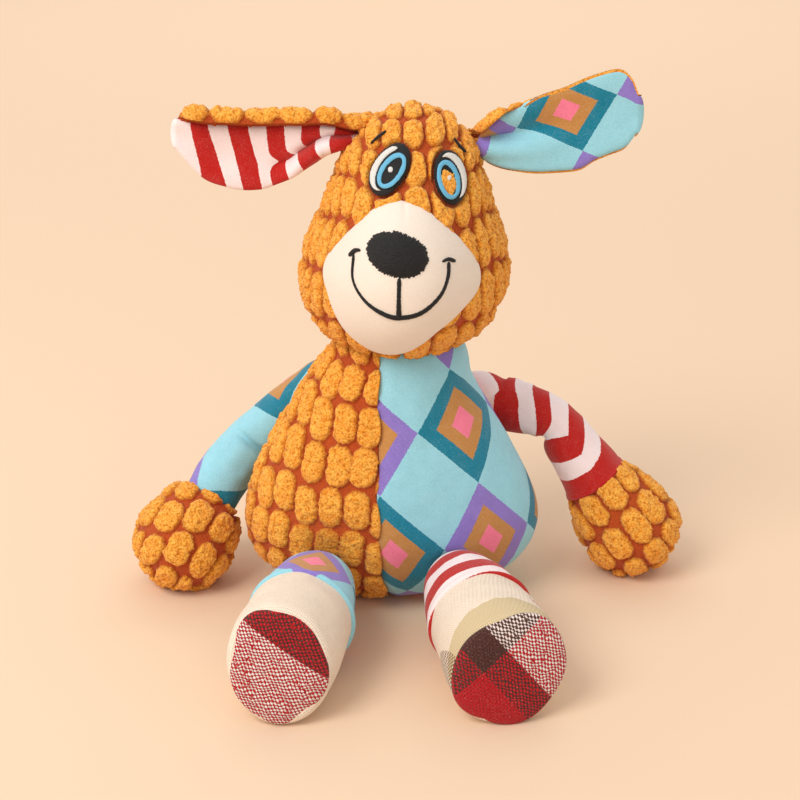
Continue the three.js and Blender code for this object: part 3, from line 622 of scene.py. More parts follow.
def bare(x, z):
    """1 where the pile stands, 0 where it is held down by the muzzle, an eye or a brow."""
    open_pile = ease(share_of(x, z, MUZZLE_AT, muzzle_reach), 0.93, 1.0)
    for side, eye in EYES.items():
        reach = oval(eye["wide"], eye["high"], eye["turn"])
        open_pile = open_pile * ease(share_of(x, z, eye["at"], reach), 0.98, 1.22)
        brow = np.array(BROWS[side])
        steps = np.stack([through([0, 1, 2], brow[:, k], np.linspace(0, 2, 9)) for k in (0, 1)], -1)
        far = np.min([np.hypot(x - p[0], z - p[1]) for p in steps], axis=0)
        open_pile = open_pile * (0.75 + 0.25 * ease(far, 0.8, 2.2))
    return open_pile


print("share of the pile left under the right eye's middle:", bare(*EYES["right"]["at"]).round(2))

# %% Head panels
HEAD_CLOTH = {"wide": 47, "high": 53, "sides_closer": 0.13, "sides_wider": 5e-5, "start": (4.2, 2)}


def head_cloth(form, front):
    """Cloth millimetres of head points, from the directions of the unit ball that they lie on: across is the
    distance from the face's middle, along the angle above the middle. Rows draw closer at the sides."""
    x, y, z = np.moveaxis((form - HEAD) / [HEAD_W, HEAD_D, HEAD_H], -1, 0)
    turn = np.arctan2(np.hypot(x, z), -y if front else y)
    way = np.arctan2(z, x)
    across = HEAD_CLOTH["wide"] * turn * np.cos(way)
    along = HEAD_CLOTH["high"] * np.arcsin(np.clip(np.sin(turn) * np.sin(way), -1, 1))
    along = along * (1 - HEAD_CLOTH["sides_closer"] * ease(np.abs(across), 18, 42))
    return across * (1 + HEAD_CLOTH["sides_wider"] * across**2), along


def head_panel(name, front, pitch, seed):
    """One bubble panel of the head, from the chin's pole to the crown's. Under the muzzle it is drawn in."""
    t = np.linspace(0.02, np.pi - 0.02, even_count(2.6 * HEAD_H, pitch))[:, None]
    lift = np.arcsin(np.clip((SEAM_Y - HEAD[1]) / (HEAD_D * head_ring(t)), -1, 1))
    span = np.linspace(0, 1, even_count(np.pi * HEAD_W, pitch))
    u = np.pi - lift + (np.pi + 2 * lift) * span if front else lift + (np.pi - 2 * lift) * span
    form = head_point(u, t)
    out = normals(form, HEAD)
    across, along = head_cloth(form, front)
    seam = run_length(form, 1)
    dip, keep = seam_dip(seam, 1.4, 2.6), ease(from_edge(seam), 0.2, 1.8)
    if front:
        x, z = form[..., 0], form[..., 2]
        keep = keep * bare(x, z)
        dip = dip - 1.0 * (1 - ease(share_of(x, z, MUZZLE_AT, muzzle_reach), 0.86, 0.99))
    u0, v0 = HEAD_CLOTH["start"]
    skin, height = pile(form + dip[..., None] * out, out, across - u0, along - v0, keep, seed,
                        pitch=(12.8, 18.6), fill=(0.94, 1.02))
    return panel(name, out_of_socket(skin), out_of_socket(form), out, np.stack([across, along], -1), height)


head_front = head_panel("head_front_bubbles", True, 0.72, 11)
head_back = head_panel("head_back_bubbles", False, 1.0, 12)
tell("head", [head_front, head_back])

# %% [markdown]
# ## Muzzle, nose, mouth and eyes
# The cream muzzle is a patch let into the head, and the rest of the face is satin stitch, which stands up a
# millimetre or two. A pad is a disc in polar steps: out over its domed top and back under it to its centre. A
# stitched line is a flat bead that follows a curve on the face. Both follow the face's form, a little above
# the cloth, where a picture on it would lie flat.

# %% Pads and beads
def face_pad(name, centre, reach, top, under, rings=40, spokes=160):
    """A closed pad on the face. top gives its height in mm from the share of the way out and the place."""
    share = np.r_[np.sin(np.linspace(0, np.pi / 2, rings)), np.linspace(1, 0, 6)[1:]][:, None]
    angle = np.linspace(0, 2 * np.pi, spokes + 1)
    far = share * reach(angle)
    x, z = centre[0] + far * np.cos(angle), centre[1] + far * np.sin(angle)
    above = (np.arange(len(share)) < rings)[:, None]
    height = np.where(above, top(share, x, z), under)
    points = face_point(x, z) + height[..., None] * face_normal(x, z)
    return sew(name, [points], [np.stack([x, z], -1)])


def bead(places, widths, low, rise, closed=False, count=120, around_count=14, tooth=0.0):
    """A bead's grid and uv: an ellipse of the given width and rise, swept along a curve over the face.
    An open one tapers over its last four steps, and tooth makes its width uneven, as threads do."""
    places, widths = np.array(places, float), np.array(widths, float)
    stations = np.arange(len(places))
    t = np.linspace(0, len(places) - 1, count)
    x, z = (through(stations, places[:, k], t) for k in (0, 1))
    end = np.minimum(t, t[-1] - t) / t[-1] * count
    taper = np.ones(count) if closed else np.sqrt(np.clip(end / 4, 0, 1))
    wide = np.interp(t, stations, widths) * taper * (1 + tooth * scatter(np.arange(count), seed=5))
    gx, gz = np.gradient(x), np.gradient(z)
    long = np.hypot(gx, gz)
    side = np.stack([-gz, gx], -1) / np.maximum(long, 1e-6)[:, None]
    a = np.linspace(0, 2 * np.pi, around_count + 1)
    off = 0.5 * wide[:, None] * np.cos(a)
    px, pz = x[:, None] + off * side[:, :1], z[:, None] + off * side[:, 1:]
    if closed:
        px[-1], pz[-1] = px[0], pz[0]
    height = low + rise * np.sin(a) * taper[:, None]
    points = face_point(px, pz) + height[..., None] * face_normal(px, pz)
    run = np.cumsum(long)[:, None] + 0 * off
    return points, np.stack([run, off], -1)


def beads(name, lines):
    """One object from several stitched lines."""
    grids, uv = zip(*(bead(**line) for line in lines))
    return sew(name, grids, uv)


def round_about(centre, far, angles):
    """Face points, x and z, at distances and angles round a centre."""
    return centre + far[:, None] * np.stack([np.cos(angles), np.sin(angles)], -1)


print("a straight stitch of 4 mm has", bead([(4, 150), (4, 154)], [1, 1], 1.6, 0.5)[0].shape[:2], "points")


# %% Muzzle
def muzzle_top(share, x, z):
    """A softly domed cloth with a little dart under its peak, falling to the seam at its edge."""
    dart = hill(x, 6.6, 0.9) * ease(z, 188, 198)
    uneven = 0.35 * lumps(np.stack([x, 0 * x, z], -1), 11, 21)
    return -0.8 + 2.4 * dome(share, 6) + uneven * (1 - share**4) - 0.5 * dart


muzzle = face_pad("muzzle_pad", MUZZLE_AT, muzzle_reach, muzzle_top, -2.4, 90, 300)
tell("muzzle", [muzzle])

# %% Nose and mouth
NOSE_AT, NOSE_THREADS = np.array([4.5, 178.8]), 160


def nose_reach(a):
    """A rounded bean, fuller at its upper left, with a ragged edge of thread ends."""
    number = np.round(np.mod(a, 2 * np.pi) * NOSE_THREADS / (2 * np.pi)) % NOSE_THREADS
    rag = 0.5 * scatter(number, seed=31)
    return oval(12.2, 8.6, -0.1)(a) * (1 + 0.07 * np.cos(a - 2.4) - 0.05 * np.cos(2 * (a - 0.9))) + rag


def nose_top(share, x, z):
    """Stitched up to two and a half millimetres, with the lie of its threads as ridges."""
    ridge = 0.18 * lumps(np.stack([x, 3 * z, 0 * x], -1), 0.9, 33)
    return 0.8 + (2.4 + ridge) * dome(share, 2.6)


nose = face_pad("nose_stitches", NOSE_AT, nose_reach, nose_top, 0.6, 46, NOSE_THREADS)
SMILE = {"places": [(-13.4, 177.5), (-13.6, 167.5), (-8.8, 160.1), (-1.5, 155.6), (4.5, 154.4), (13, 156.3),
                    (20.2, 162.3), (23.3, 169), (23.8, 175)],
         "widths": [0.8, 0.8, 1.2, 1.9, 2.2, 2.1, 1.8, 1.6, 1.4]}
LIP = {"places": [(4.5, 171), (4.3, 162), (4.3, 154)], "widths": [1.7, 1.7, 2.2]}
RIGHT_DIMPLE = {"places": [(-15.6, 175.8), (-13, 178.6), (-10.6, 179.4)], "widths": [1.2, 1.5, 1.0]}
LEFT_DIMPLE = {"places": [(21, 175.6), (23.8, 175.9), (26.8, 174.2)], "widths": [1.0, 1.5, 1.2]}
mouth = beads("mouth_stitches", [
    dict(SMILE, low=1.6, rise=0.75, tooth=0.12, count=200),
    dict(LIP, low=1.6, rise=0.8, tooth=0.12, count=60),
    dict(RIGHT_DIMPLE, low=1.6, rise=0.6, count=30),
    dict(LEFT_DIMPLE, low=1.6, rise=0.6, count=30)])
tell("nose and mouth", [nose, mouth])

# %% Eyes and brows
IRIS_STEPS, WHITE_STEPS = 24, 15
RING, BLACK_EDGE, WHITE_FROM = 1.75, 1.15, 1.55


def eye_dome(share, x, z):
    """The black stitching of an eye, a low cushion."""
    return 0.2 + 1.5 * dome(share, 4)


def make_eye(side):
    """An eye's black base, its blue ring, its white crescent with the shine, and the brow above."""
    eye = EYES[side]
    at, wide, high, turn = np.array(eye["at"]), eye["wide"], eye["high"], eye["turn"]
    iris, (less_x, less_z) = at + eye["iris"], eye["ring"]
    ring_wide, ring_high = wide - less_x, high - less_z
    base = face_pad(side + "_eye_black", at,
                    lambda a: oval(wide, high, turn)(a) + 0.18 * scatter(np.round(a * 16), seed=41),
                    eye_dome, -0.6, 24, 100)
    a = np.linspace(0, 2 * np.pi, IRIS_STEPS + 1)
    uneven = 0.2 * scatter(np.arange(IRIS_STEPS + 1) % IRIS_STEPS, seed=43)
    blue = beads(side + "_eye_blue", [
        dict(places=round_about(iris, oval(ring_wide, ring_high, turn)(a), a), widths=RING + uneven,
             low=1.9, rise=0.45, closed=True, count=97)])
    base_edge = oval(wide - BLACK_EDGE, high - BLACK_EDGE, turn)(a[:-1])
    inner_edge = around(round_about(at, base_edge, a[:-1]), iris)
    sweep = np.pi / 2 - eye["outer"] * np.linspace(-0.28, 2.6, WHITE_STEPS)
    near = oval(ring_wide + WHITE_FROM, ring_high + WHITE_FROM, turn)(sweep)
    far = np.maximum(inner_edge(sweep), near + 0.35)
    crescent = dict(places=round_about(iris, (near + far) / 2, sweep),
                    widths=(far - near) * np.sin(np.linspace(0.25, np.pi - 0.25, WHITE_STEPS)) ** 0.5,
                    low=1.8, rise=0.5, count=80, tooth=0.08)
    shine_at, slope = iris + eye["shine"], np.array([0.7, 0.9])
    shine = dict(places=[shine_at - slope, shine_at, shine_at + slope], widths=[1.2, 2.0, 1.3],
                 low=1.9, rise=0.5, count=16)
    white = beads(side + "_eye_white", [crescent, shine])
    brow = beads(side + "_brow_stitches", [
        dict(places=BROWS[side], widths=[0.5, 0.95, 0.7], low=0.7, rise=0.5, count=50, tooth=0.2)])
    return {"base": base, "iris": blue, "white": white, "brow": brow}


eyes = {side: make_eye(side) for side in EYES}
tell("eyes", [*eyes["right"].values(), *eyes["left"].values()])

# %% [markdown]
# In the left eye a tuft of the head's pile shows through the ring, where the black stitching has a hole.

# %% Pile in the left eye
TUFT_AT = np.array(EYES["left"]["at"]) + EYES["left"]["iris"] + [0.05, -1.0]


def tuft_reach(a):
    """A turned oval with a ragged edge."""
    rag = 0.12 * scatter(np.round(np.mod(a, 2 * np.pi) * 4), seed=45)
    return oval(2.9, 4.8, EYES["left"]["turn"])(a) * (1 + rag)


def tuft_top(share, x, z):
    """A cushion that is still half high at its edge."""
    return 1.7 + 0.5 * np.sqrt(1 - 0.9 * share**4)


pupil = face_pad("left_eye_pile", TUFT_AT, tuft_reach, tuft_top, 1.0, 16, 60)
mark_pile(pupil.data, np.ones(len(pupil.data.vertices)))
tell("tuft", [pupil])

# %% [markdown]
# ## Ears
# An ear is two layers sewn round their edge: velour in front and bubble corduroy behind, which rolls forward
# over the top of the striped one and shows as a thin edge on the printed one. The edges are read from the
# photograph as pairs of points, one on the upper and one on the lower edge, so a line between a pair runs
# along the striped ear's stripes. The root is pinched: a valley runs out from it and fades.

# %% Ear edges
EARS = {
    "right": {
        "upper": [[-14.3, 218.6], [-22.9, 221.3], [-29.4, 222.2], [-37.3, 221.8], [-45, 221.7],
                  [-52.8, 221.3], [-60.8, 221.3], [-69.5, 221.8], [-78.1, 222.2], [-85.5, 223.3],
                  [-91.2, 224.8]],
        "lower": [[-18.4, 212.9], [-26.4, 209.1], [-30.7, 206.3], [-37.7, 201.8], [-43.1, 198.4],
                  [-50.6, 195.1], [-55.5, 193.4], [-63.7, 193], [-71, 194.4], [-81.8, 198.8],
                  [-93, 211.6]],
        "roll": (3.5, 6.5, 2.0), "root": 0.0, "lip": 0.6, "valley": (0.63, 0.12, 13.5), "drift": 0.125,
        "inside": (-0.6, -1.4), "seed": 61},
    "left": {
        "upper": [[39.3, 218.5], [46.1, 224.2], [53.3, 228.9], [64.3, 234.1], [75.6, 237.9], [83.3, 241.4],
                  [92, 244.5], [98.8, 245.6], [103.7, 242.2], [107.1, 234.9]],
        "lower": [[37.7, 211.1], [41.3, 206.2], [49.2, 202.9], [61.5, 201.3], [72.8, 201.5], [83.2, 202.7],
                  [90, 206.9], [96.4, 209.7], [102.8, 212.6], [106.8, 218.1]],
        "roll": (0.2, -1.1, 0.0), "root": 4.8, "lip": 1.5, "valley": (0.55, 0.18, 5.5), "drift": 0.0,
        "inside": (0.1, -0.6), "seed": 67}}
EAR_PRINT = {"centre": (76.4, 228.6), "first": (13.4, 25.1), "second": (29.3, -11.5)}
print("pairs of edge points:", {side: len(ear["upper"]) for side, ear in EARS.items()})

# %% Ear form
EAR_INTO_HEAD, EAR_TIP, EAR_CUP = 9, 3.0, -2.2
RIDGE = {"below": 0.24, "wide": 0.13, "high": 0.45}
EAR_LENGTH = 92


def valley_at(side, k):
    """Where the pinched valley runs, as a share of the ear's height. It drifts down on its way out."""
    return EARS[side]["valley"][0] - EARS[side]["drift"] * np.clip(k - 1.6, 0, 2.4)


def ear_sheet(side, k, v):
    """A point of the ear: k counts pairs of edge points from the root, v is 0 to 1 from the lower edge."""
    ear = EARS[side]
    upper, lower = np.array(ear["upper"]), np.array(ear["lower"])
    stations = np.arange(len(upper))
    last = stations[-1]
    kk = np.clip(k, 0, last)
    top = np.stack([through(stations, upper[:, i], kk) for i in (0, 1)], -1)
    low = np.stack([through(stations, lower[:, i], kk) for i in (0, 1)], -1)
    inward = unit(upper[0] + lower[0] - upper[1] - lower[1]) * EAR_INTO_HEAD
    edge = np.minimum(k, 0)[..., None]
    top, low = top - edge * inward, low - edge * inward
    flat = low + (top - low) * v[..., None]
    out = np.maximum(k - last, 0)[..., None] * EAR_TIP
    tip = unit(upper[-1] + lower[-1] - upper[-3] - lower[-3])
    flat = flat + tip * out * dome((v[..., None] - 0.5) * 2, 2)
    q = np.clip(k / last, 0, 1)
    middle, (_, width, deep) = valley_at(side, k), ear["valley"]
    fold = hill(v, middle, width) - 0.35 - RIDGE["high"] * hill(v, middle - RIDGE["below"], RIDGE["wide"])
    pinch = deep * fold * ease(k, -1.2, 0.8) * (1 - ease(q, 0.1, 0.56))
    cup = EAR_CUP * (2 * v - 1) ** 2 * ease(q, 0, 0.4)
    y = SEAM_Y - 3 * q + cup + pinch
    return np.stack([flat[..., 0], y, flat[..., 1]], -1)


def ear_grid(side, pitch, columns, root):
    """Row and column numbers for an ear's sheet: k from inside the head to past the tip, v from 0 to 1."""
    last = len(EARS[side]["upper"]) - 1
    rows = even_count(EAR_LENGTH, pitch)
    tip = last + np.sin(np.linspace(0.2, np.pi / 2, 8))
    k = np.concatenate([np.linspace(root, last, rows), tip])[:, None]
    return k, np.linspace(0, 1, columns)[None], last


for side in EARS:
    print(side, "ear's root at", ear_sheet(side, np.array([0.0]), np.array([0.5]))[0].round(1).tolist())

# %% Ear layers
VELOUR_THICK, LINING = 2.3, 1.5
ROLL_FROM = 0.68


def ear_front(side, pitch=0.8):
    """The velour layer: a thin closed cushion, thickest in its middle."""
    k, v, last = ear_grid(side, pitch, even_count(34, pitch), EARS[side]["inside"][0])
    point = ear_sheet(side, k + 0 * v, v + 0 * k)
    out = normals(point, point.mean((0, 1)) + [0, 60, 0])
    edge = dome(np.abs(2 * v - 1), 3.5) * np.sqrt(np.clip(last + 1.02 - k, 0, 1))
    soft = 0.5 * lumps(point, 9, 51)
    front = point + out * (0.2 + (VELOUR_THICK + soft) * edge)[..., None]
    return front, point + out * 0.1, point, k + 0 * v, v


def both_sides(front, back):
    """Two sheets of the same grid joined round their edges: one grid whose columns run front, then back."""
    return np.concatenate([front, back[:, ::-1], front[:, :1]], 1)


def ear_back(side, pitch=0.75):
    """The bubble layer: up the back from the lower edge, then over the upper edge on half an ellipse to the
    front. s goes from 0 to 1 round it, and the roll over the edge starts at ROLL_FROM."""
    ear = EARS[side]
    roll_deep, roll_high, roll_over = ear["roll"]
    cols = even_count(54, pitch)
    k, s, last = ear_grid(side, pitch, cols, ear["inside"][1])
    v = np.clip(s / ROLL_FROM, 0, 1)
    turn = np.clip((s - ROLL_FROM) / (1 - ROLL_FROM), 0, 1) * np.pi
    form = ear_sheet(side, k + 0 * s, v + 0 * k)
    fade = np.clip((last + 0.1 - k) / 1.2, 0, 1) ** 0.7 * ease(k, k[0], k[0] + 0.8)
    root = ear["root"] * (1 - ease(k, 0.6, 3.2))
    high, deep = roll_high + root, roll_deep + 0.6 * root
    puff = 1.6 * dome(np.abs(2 * v - 1), 4) * (s < ROLL_FROM)
    form[..., 1] += 1.2 + puff + fade * deep * (np.cos(turn) - 1) * (s >= ROLL_FROM) * 1.25
    form[..., 2] += fade * (high * np.sin(turn) + roll_over * (1 - np.cos(turn)) / 2) * (s >= ROLL_FROM)
    form[..., 2] -= ear["lip"] * hill(s, 0, 0.03)
    out = normals(form, form.mean((0, 1)))
    out = out * (1 if out[len(k) // 2, cols // 3, 1] > 0 else -1)
    across, along = run_length(form, 1), run_length(form, 0)
    crest = across[:, int(cols * (ROLL_FROM + 0.6 * (1 - ROLL_FROM)))][:, None]
    along = along[:, cols // 2:cols // 2 + 1] + 0 * across
    keep = ease(across, 0.2, 1.6) * ease(across[:, -1:] - across, 0.0, 0.8) * ease(last - k, -0.6, 0.9)
    skin, height = pile(form, out, across - crest, along + 5, keep, ear["seed"],
                        fill=(1.0, 1.02), pitch=(14.2, 14.4))
    if side == "left":
        low = ease(k, 1.8, 3.4) * np.maximum(ease(s, 0.6, ROLL_FROM), 1 - ease(s, 0.02, 0.06))
        skin = skin + (form - 0.5 * out - skin) * (0.8 * low)[..., None]
        height = np.maximum(height, low)
    lining = np.full(height.shape, float(side == "left"))
    return skin, form - out * LINING, np.stack([across, along], -1), both_sides(height, lining)


print("an ear's velour has", ear_front("left")[0].shape[:2], "points on its front")

# %% [markdown]
# The stripes count along the ear's pairs of edge points and slip where the cloth is folded into the valley.
# The print is laid on as the ear is seen, and some of it is hidden in the fold at the root.

# %% Sew the ears
def ear_stripes(point, k, v):
    """The striped ear's uv: the stripe's number, and the way out from the root."""
    off = (v - valley_at("right", k)) / 0.09
    slip = 0.42 * hill(off, 0.9, 1) - 0.1 * hill(off, -1.2, 1)
    slip = slip * ease(k, 1.6, 3.4) * (1 - ease(k, 4.4, 6.4))
    return np.stack([0.5 * np.clip(k + slip, 0.02, 9.9) - 0.02 + 0.015 * lumps(point, 12, 55), k], -1)


def ear_diamonds(point, k, v):
    """The printed ear's uv."""
    hidden = 6.5 * (1 - ease(v, 0.48, 0.6)) * (1 - ease(k, 1.0, 4.0))
    return lattice(point[..., 0] + hidden, point[..., 2], **EAR_PRINT)


ears = {}
for side, cloth_of in (("right", ear_stripes), ("left", ear_diamonds)):
    front, back, *where = ear_front(side)
    cloth = cloth_of(*where)
    ears[side, "front"] = sew(side + "_ear_velour", [capped(both_sides(front, back))],
                              [for_poles(both_sides(cloth, cloth))])
    skin, inner, cloth, height = ear_back(side)
    ears[side, "back"] = sew(side + "_ear_bubbles", [capped(both_sides(skin, inner))],
                             [for_poles(both_sides(cloth, cloth))], pile_height=[for_poles(height)])
tell("ears", ears.values())

# %% [markdown]
# ## Arms
# A sleeve is one tube from the shoulder to the wrist, so it can bend at the elbow with the cloth over it,
# where two tubes would show a cut. Its middle line is two straight runs with a rounded corner, and the soft
# filling lets it sag from there. The right sleeve reaches over the neck of its paw.

# %% Arm line
UPPER_L, FORE_L = 45.0, 28.0
WRIST = UPPER_L + FORE_L
SAG_AT = [-9, 0, 8, 24, 42, 60, 73]
SAG = {"right": [(4, -11, 3.5), (4.6, -7.5, 1.8), (4.2, -2.5, -1.4), (4, 0, -3), (2.4, 0, -1.8),
                 (0.6, 0, -0.5), (0, 0, 0)],
       "left": [(-3, -11, 0.2), (-1, -7.5, -1.5), (0, -2.5, -3.2), (0, 0, -0.5), (0, 0, 4.2),
                (0, 0, 1.4), (0, 0, 0)]}
FORE_WAY = {"right": unit([-0.46, -0.62, -0.635]), "left": unit([0.60, -0.12, -0.80])}
CORNER = 13.0


def upper_way(side):
    """Direction from the shoulder to the elbow."""
    return unit(joint_at(side + "_elbow") - joint_at(side + "_shoulder"))


def sag(side, h):
    """How far a soft arm's middle line lies from the joints' line."""
    at = np.clip(h, SAG_AT[0], SAG_AT[-1])
    return np.stack([through(SAG_AT, amounts, at) for amounts in np.transpose(SAG[side])], -1)


def arm_middle(side, h):
    """An arm's middle line at distances h from the shoulder: two runs, a rounded corner and the sag."""
    elbow, upper, fore = joint_at(side + "_elbow"), upper_way(side), FORE_WAY[side]
    t = np.clip((h - UPPER_L + CORNER) / (2 * CORNER), 0, 1)[..., None]
    bend = (1 - t) ** 2 * (elbow - CORNER * upper) + 2 * t * (1 - t) * elbow + t**2 * (elbow + CORNER * fore)
    low = np.minimum(h - UPPER_L + CORNER, 0)[..., None]
    high = np.maximum(h - UPPER_L - CORNER, 0)[..., None]
    return bend + low * upper + high * fore + sag(side, h)


print("wrists at", {side: arm_middle(side, np.array([WRIST]))[0].round(1).tolist() for side in SAG})


# %% Rings round an arm
def arm_line(side, h):
    """Points and directions of that line."""
    return arm_middle(side, h), unit(arm_middle(side, h + 1.5) - arm_middle(side, h - 1.5))


VIEWER = unit([0, -0.93, 0.37])


def arm_axes(side, way):
    """Two directions across an arm: the normal of its bend's plane, and the one in that plane."""
    across = unit(np.cross(upper_way(side), FORE_WAY[side]))
    return np.cross(across, way), across


def front_angle(side, h):
    """The angle round the arm that faces the viewer at a distance from the shoulder."""
    other, across = arm_axes(side, arm_line(side, np.array([float(h)]))[1])
    return float(np.arctan2(across @ VIEWER, (other @ VIEWER)[0]))


def tube(side, h, radius, angles):
    """Points round an arm's middle line, the angle counted from the plane of its bend."""
    centre, way = arm_line(side, h)
    other, across = arm_axes(side, way)
    other = unit(other)
    spoke = np.cos(angles)[..., None] * other + np.sin(angles)[..., None] * across
    return centre + radius[..., None] * spoke


print("front of the wrists at", {side: round(front_angle(side, WRIST), 2) for side in SAG}, "radians")

# %% Sleeve form
SLEEVE_FROM, SLEEVE_ROUND = -8.6, 82
ELBOW_CREASE, ELBOW_PUFF = -3.4, 1.3
SLEEVE_R = {"right": [0.2, 6.4, 9.2, 11.0, 12.2, 13.0, 12.9, 13.0, 13.2, 13.2, 12.6, 0.2],
            "left": [0.2, 6.8, 11.0, 12.6, 12.7, 12.0, 10.5, 12.4, 13.8, 15.2, 15.0, 0.2]}
SLEEVE_END = {"right": WRIST + 10.7, "left": WRIST + 3.5}
SLEEVE_AT = {side: np.array([-9, -6.4, 0, 9, 18, 27, UPPER_L, UPPER_L + 11, UPPER_L + 20,
                             end - 3.5, end, end + 0.5]) for side, end in SLEEVE_END.items()}


def sleeve(side, pitch=1.0):
    """A sleeve's points, its length and the angle from the front, creased inside the elbow and hemmed."""
    end = SLEEVE_END[side]
    rows = np.linspace(SLEEVE_FROM, end, even_count(end + 9, pitch))
    h = np.r_[SLEEVE_FROM - 0.3, rows, end + 0.3][:, None]
    turn = np.linspace(-np.pi, np.pi, even_count(SLEEVE_ROUND, pitch))[None]
    a = front_angle(side, UPPER_L) + turn
    radii = SLEEVE_R[side]
    straight = np.interp(h, SLEEVE_AT[side], radii)
    plain = np.where(h > end - 0.5, straight, straight * 0.35 + through(SLEEVE_AT[side], radii, h) * 0.65)
    inside = np.clip(np.cos(a), 0, 1)
    crease = ELBOW_CREASE * inside**1.5 * hill(h, UPPER_L, 2.6)
    puff = ELBOW_PUFF * inside * (hill(h, UPPER_L + 8, 5) + hill(h, UPPER_L - 8, 5))
    spread = on_tube(13, a, h)
    soft = (0.7 * lumps(spread, 11, 71) + 0.35 * lumps(spread, 5, 72)) * ease(h, -6, 6) * ease(end - h, 0, 5)
    radius = np.maximum(plain + crease + puff + soft, 0.2)
    points = tube(side, h + 0 * a, radius, a + 0 * h)
    points[0] = points[0].mean(0)
    points[-1] = points[-1].mean(0)
    points[:, -1] = points[:, 0]
    points[..., 2] = np.maximum(points[..., 2], 0.2)
    return points, h + 0 * a, turn + 0 * h


print("sleeves end at", SLEEVE_END, "mm from the shoulder")

# %% Sleeve cloth
# On the left the stripes start at these lengths along the front, the red ones at whole numbers. They slip
# along the arm towards its outer and inner sides, and turn at the crease of the elbow.
STRIPES_AT = [-20, -9, 0.6, 9.6, 25.6, 35, 41.4, 50, 58.7, 66.4, 79, 90]
STRIPE_NUMBER = [-0.6, 0, 0.5, 1, 1.5, 2, 2.5, 3, 3.5, 4, 4.45, 4.48]
OUTER_SLIP = [0, 20, 33, 40, 47, 57, 64], [11.7, 11.5, 6.0, 6.0, 9.0, 8.6, 4.5]
INNER_SLIP = [0, 20, 33, 42, 47, 57, 66], [-8.8, -6.5, -3.5, -5.0, 4.0, 1.4, 0]

ARM_R, PRINT_STRETCH = 12.5, 9.5
SLEEVE_PRINT = {"centre": (23.0, 9.0), "first": (-21.0, 38.0), "second": (30.0, 17.0)}


def sleeve_stripes(length, turn):
    """The striped sleeve's uv: the stripe's number, and the angle from the front."""
    slip = np.interp(length, *OUTER_SLIP) * np.maximum(-np.sin(turn), 0)
    slip = slip + np.interp(length, *INNER_SLIP) * np.maximum(np.sin(turn), 0)
    return np.stack([np.interp(length + slip, STRIPES_AT, STRIPE_NUMBER), turn], -1)


def sleeve_diamonds(length, turn):
    """The printed sleeve's uv. The cloth is stretched over the forearm, which spreads the print there."""
    return lattice(ARM_R * turn, length - PRINT_STRETCH * ease(length, 30, 84), **SLEEVE_PRINT)


sleeves = {}
for side, cloth_of in (("right", sleeve_diamonds), ("left", sleeve_stripes)):
    points, *where = sleeve(side)
    sleeves[side] = sew(side + "_sleeve_cloth", [points], [cloth_of(*where)])
tell("sleeves", sleeves.values())

# %% [markdown]
# A paw is a ball of bubble cloth in two panels, upper and under, with a seam along both sides. Its profile is
# carried round the forearm's line as radius and distance from the wrist.

# %% Paws
PAW_NECK = {"right": [[11.4, 0], [11.6, 6.8], [15.4, 8.4], [18.2, 12]],
            "left": [[12.0, 0], [14.6, 1.4], [16.2, 4], [19.2, 11]]}
PAW_ROUND = 158
PAW_BALL = [[22.1, 20], [23.8, 29.2], [23.4, 37.4], [19.6, 45.4], [13.2, 51.2], [5.6, 54.4], [0.3, 55]]
PAW_FROM = {"right": 7.4, "left": 0.2}


def paw(side, seed, pitch=0.75):
    """A paw in its bubbles: rings round the forearm's direction, flattened where it lies on the ground.
    Each panel is laid out by the distance along the paw and round it from the panel's middle."""
    stations = np.array(PAW_NECK[side] + PAW_BALL)
    run = np.r_[0, np.cumsum(np.hypot(*np.diff(stations, axis=0).T))]
    s = np.linspace(0, run[-1], even_count(run[-1], pitch))
    r, h = through(run, stations[:, 0], s)[:, None], through(run, stations[:, 1], s)[:, None]
    turn = np.linspace(-np.pi, np.pi, even_count(PAW_ROUND, pitch))[None]
    a = front_angle(side, WRIST) + turn
    form = tube(side, h + WRIST + 0.3 + 0 * a, np.maximum(r, 0.05) + 0 * a, a + 0 * h)
    form[:, -1] = form[:, 0]
    out = normals(form, form.mean((0, 1)))
    out[:, -1] = out[:, 0]
    panel_turn = np.where(np.abs(turn) < np.pi / 2, turn, np.mod(turn + 2 * np.pi, 2 * np.pi) - np.pi)
    across, along = r * panel_turn, s[:, None] + 0 * turn
    seam = np.abs(np.cos(turn)) * r
    keep = ease(seam, 0.2, 1.8) * ease(h, PAW_FROM[side], PAW_FROM[side] + 1.8)
    skin, height = pile(form, out, across + 1.5, along - 9, keep, seed,
                        fill=(0.95, 0.96), pitch=(13.4, 19.6), lean=0.15)
    skin[..., 2] = np.maximum(skin[..., 2], 0)
    skin[:, -1] = skin[:, 0]
    points = capped(skin)
    points[0] = form[0].mean(0)
    cloth = np.stack([across, along], -1)
    return sew(side + "_paw_bubbles", [points], [for_poles(cloth)], pile_height=[for_poles(height)])


paws = {"right": paw("right", 81), "left": paw("left", 87)}
tell("paws", paws.values())

# %% [markdown]
# ## Legs
# A leg is a stuffed tube that points forward and turns up at the foot. The cuff covers its first half. The
# linen upper goes on to the sole, a woven disc that faces the viewer. Each is a closed tube of rings, so that
# the hem of the cuff can stand off the linen and both can sag on the ground.

# %% Leg form
LEGS = {"right": {"way": unit([-0.19, -0.98, -0.005]), "sole": unit([-0.08, -1, 0.28]), "roll": 0.15},
        "left": {"way": unit([0.26, -0.965, -0.045]), "sole": unit([0.14, -1, 0.28]), "roll": -0.95}}
LEG_L, CUFF_END = 66.0, 0.40
LEG_AT = [0, 0.22, 0.40, 0.8, 1]
LEG_WIDE = [18, 21.2, 22.5, 23.1, 21.5]
LEG_HIGH = [18, 21.2, 22.5, 24.9, 25.5]


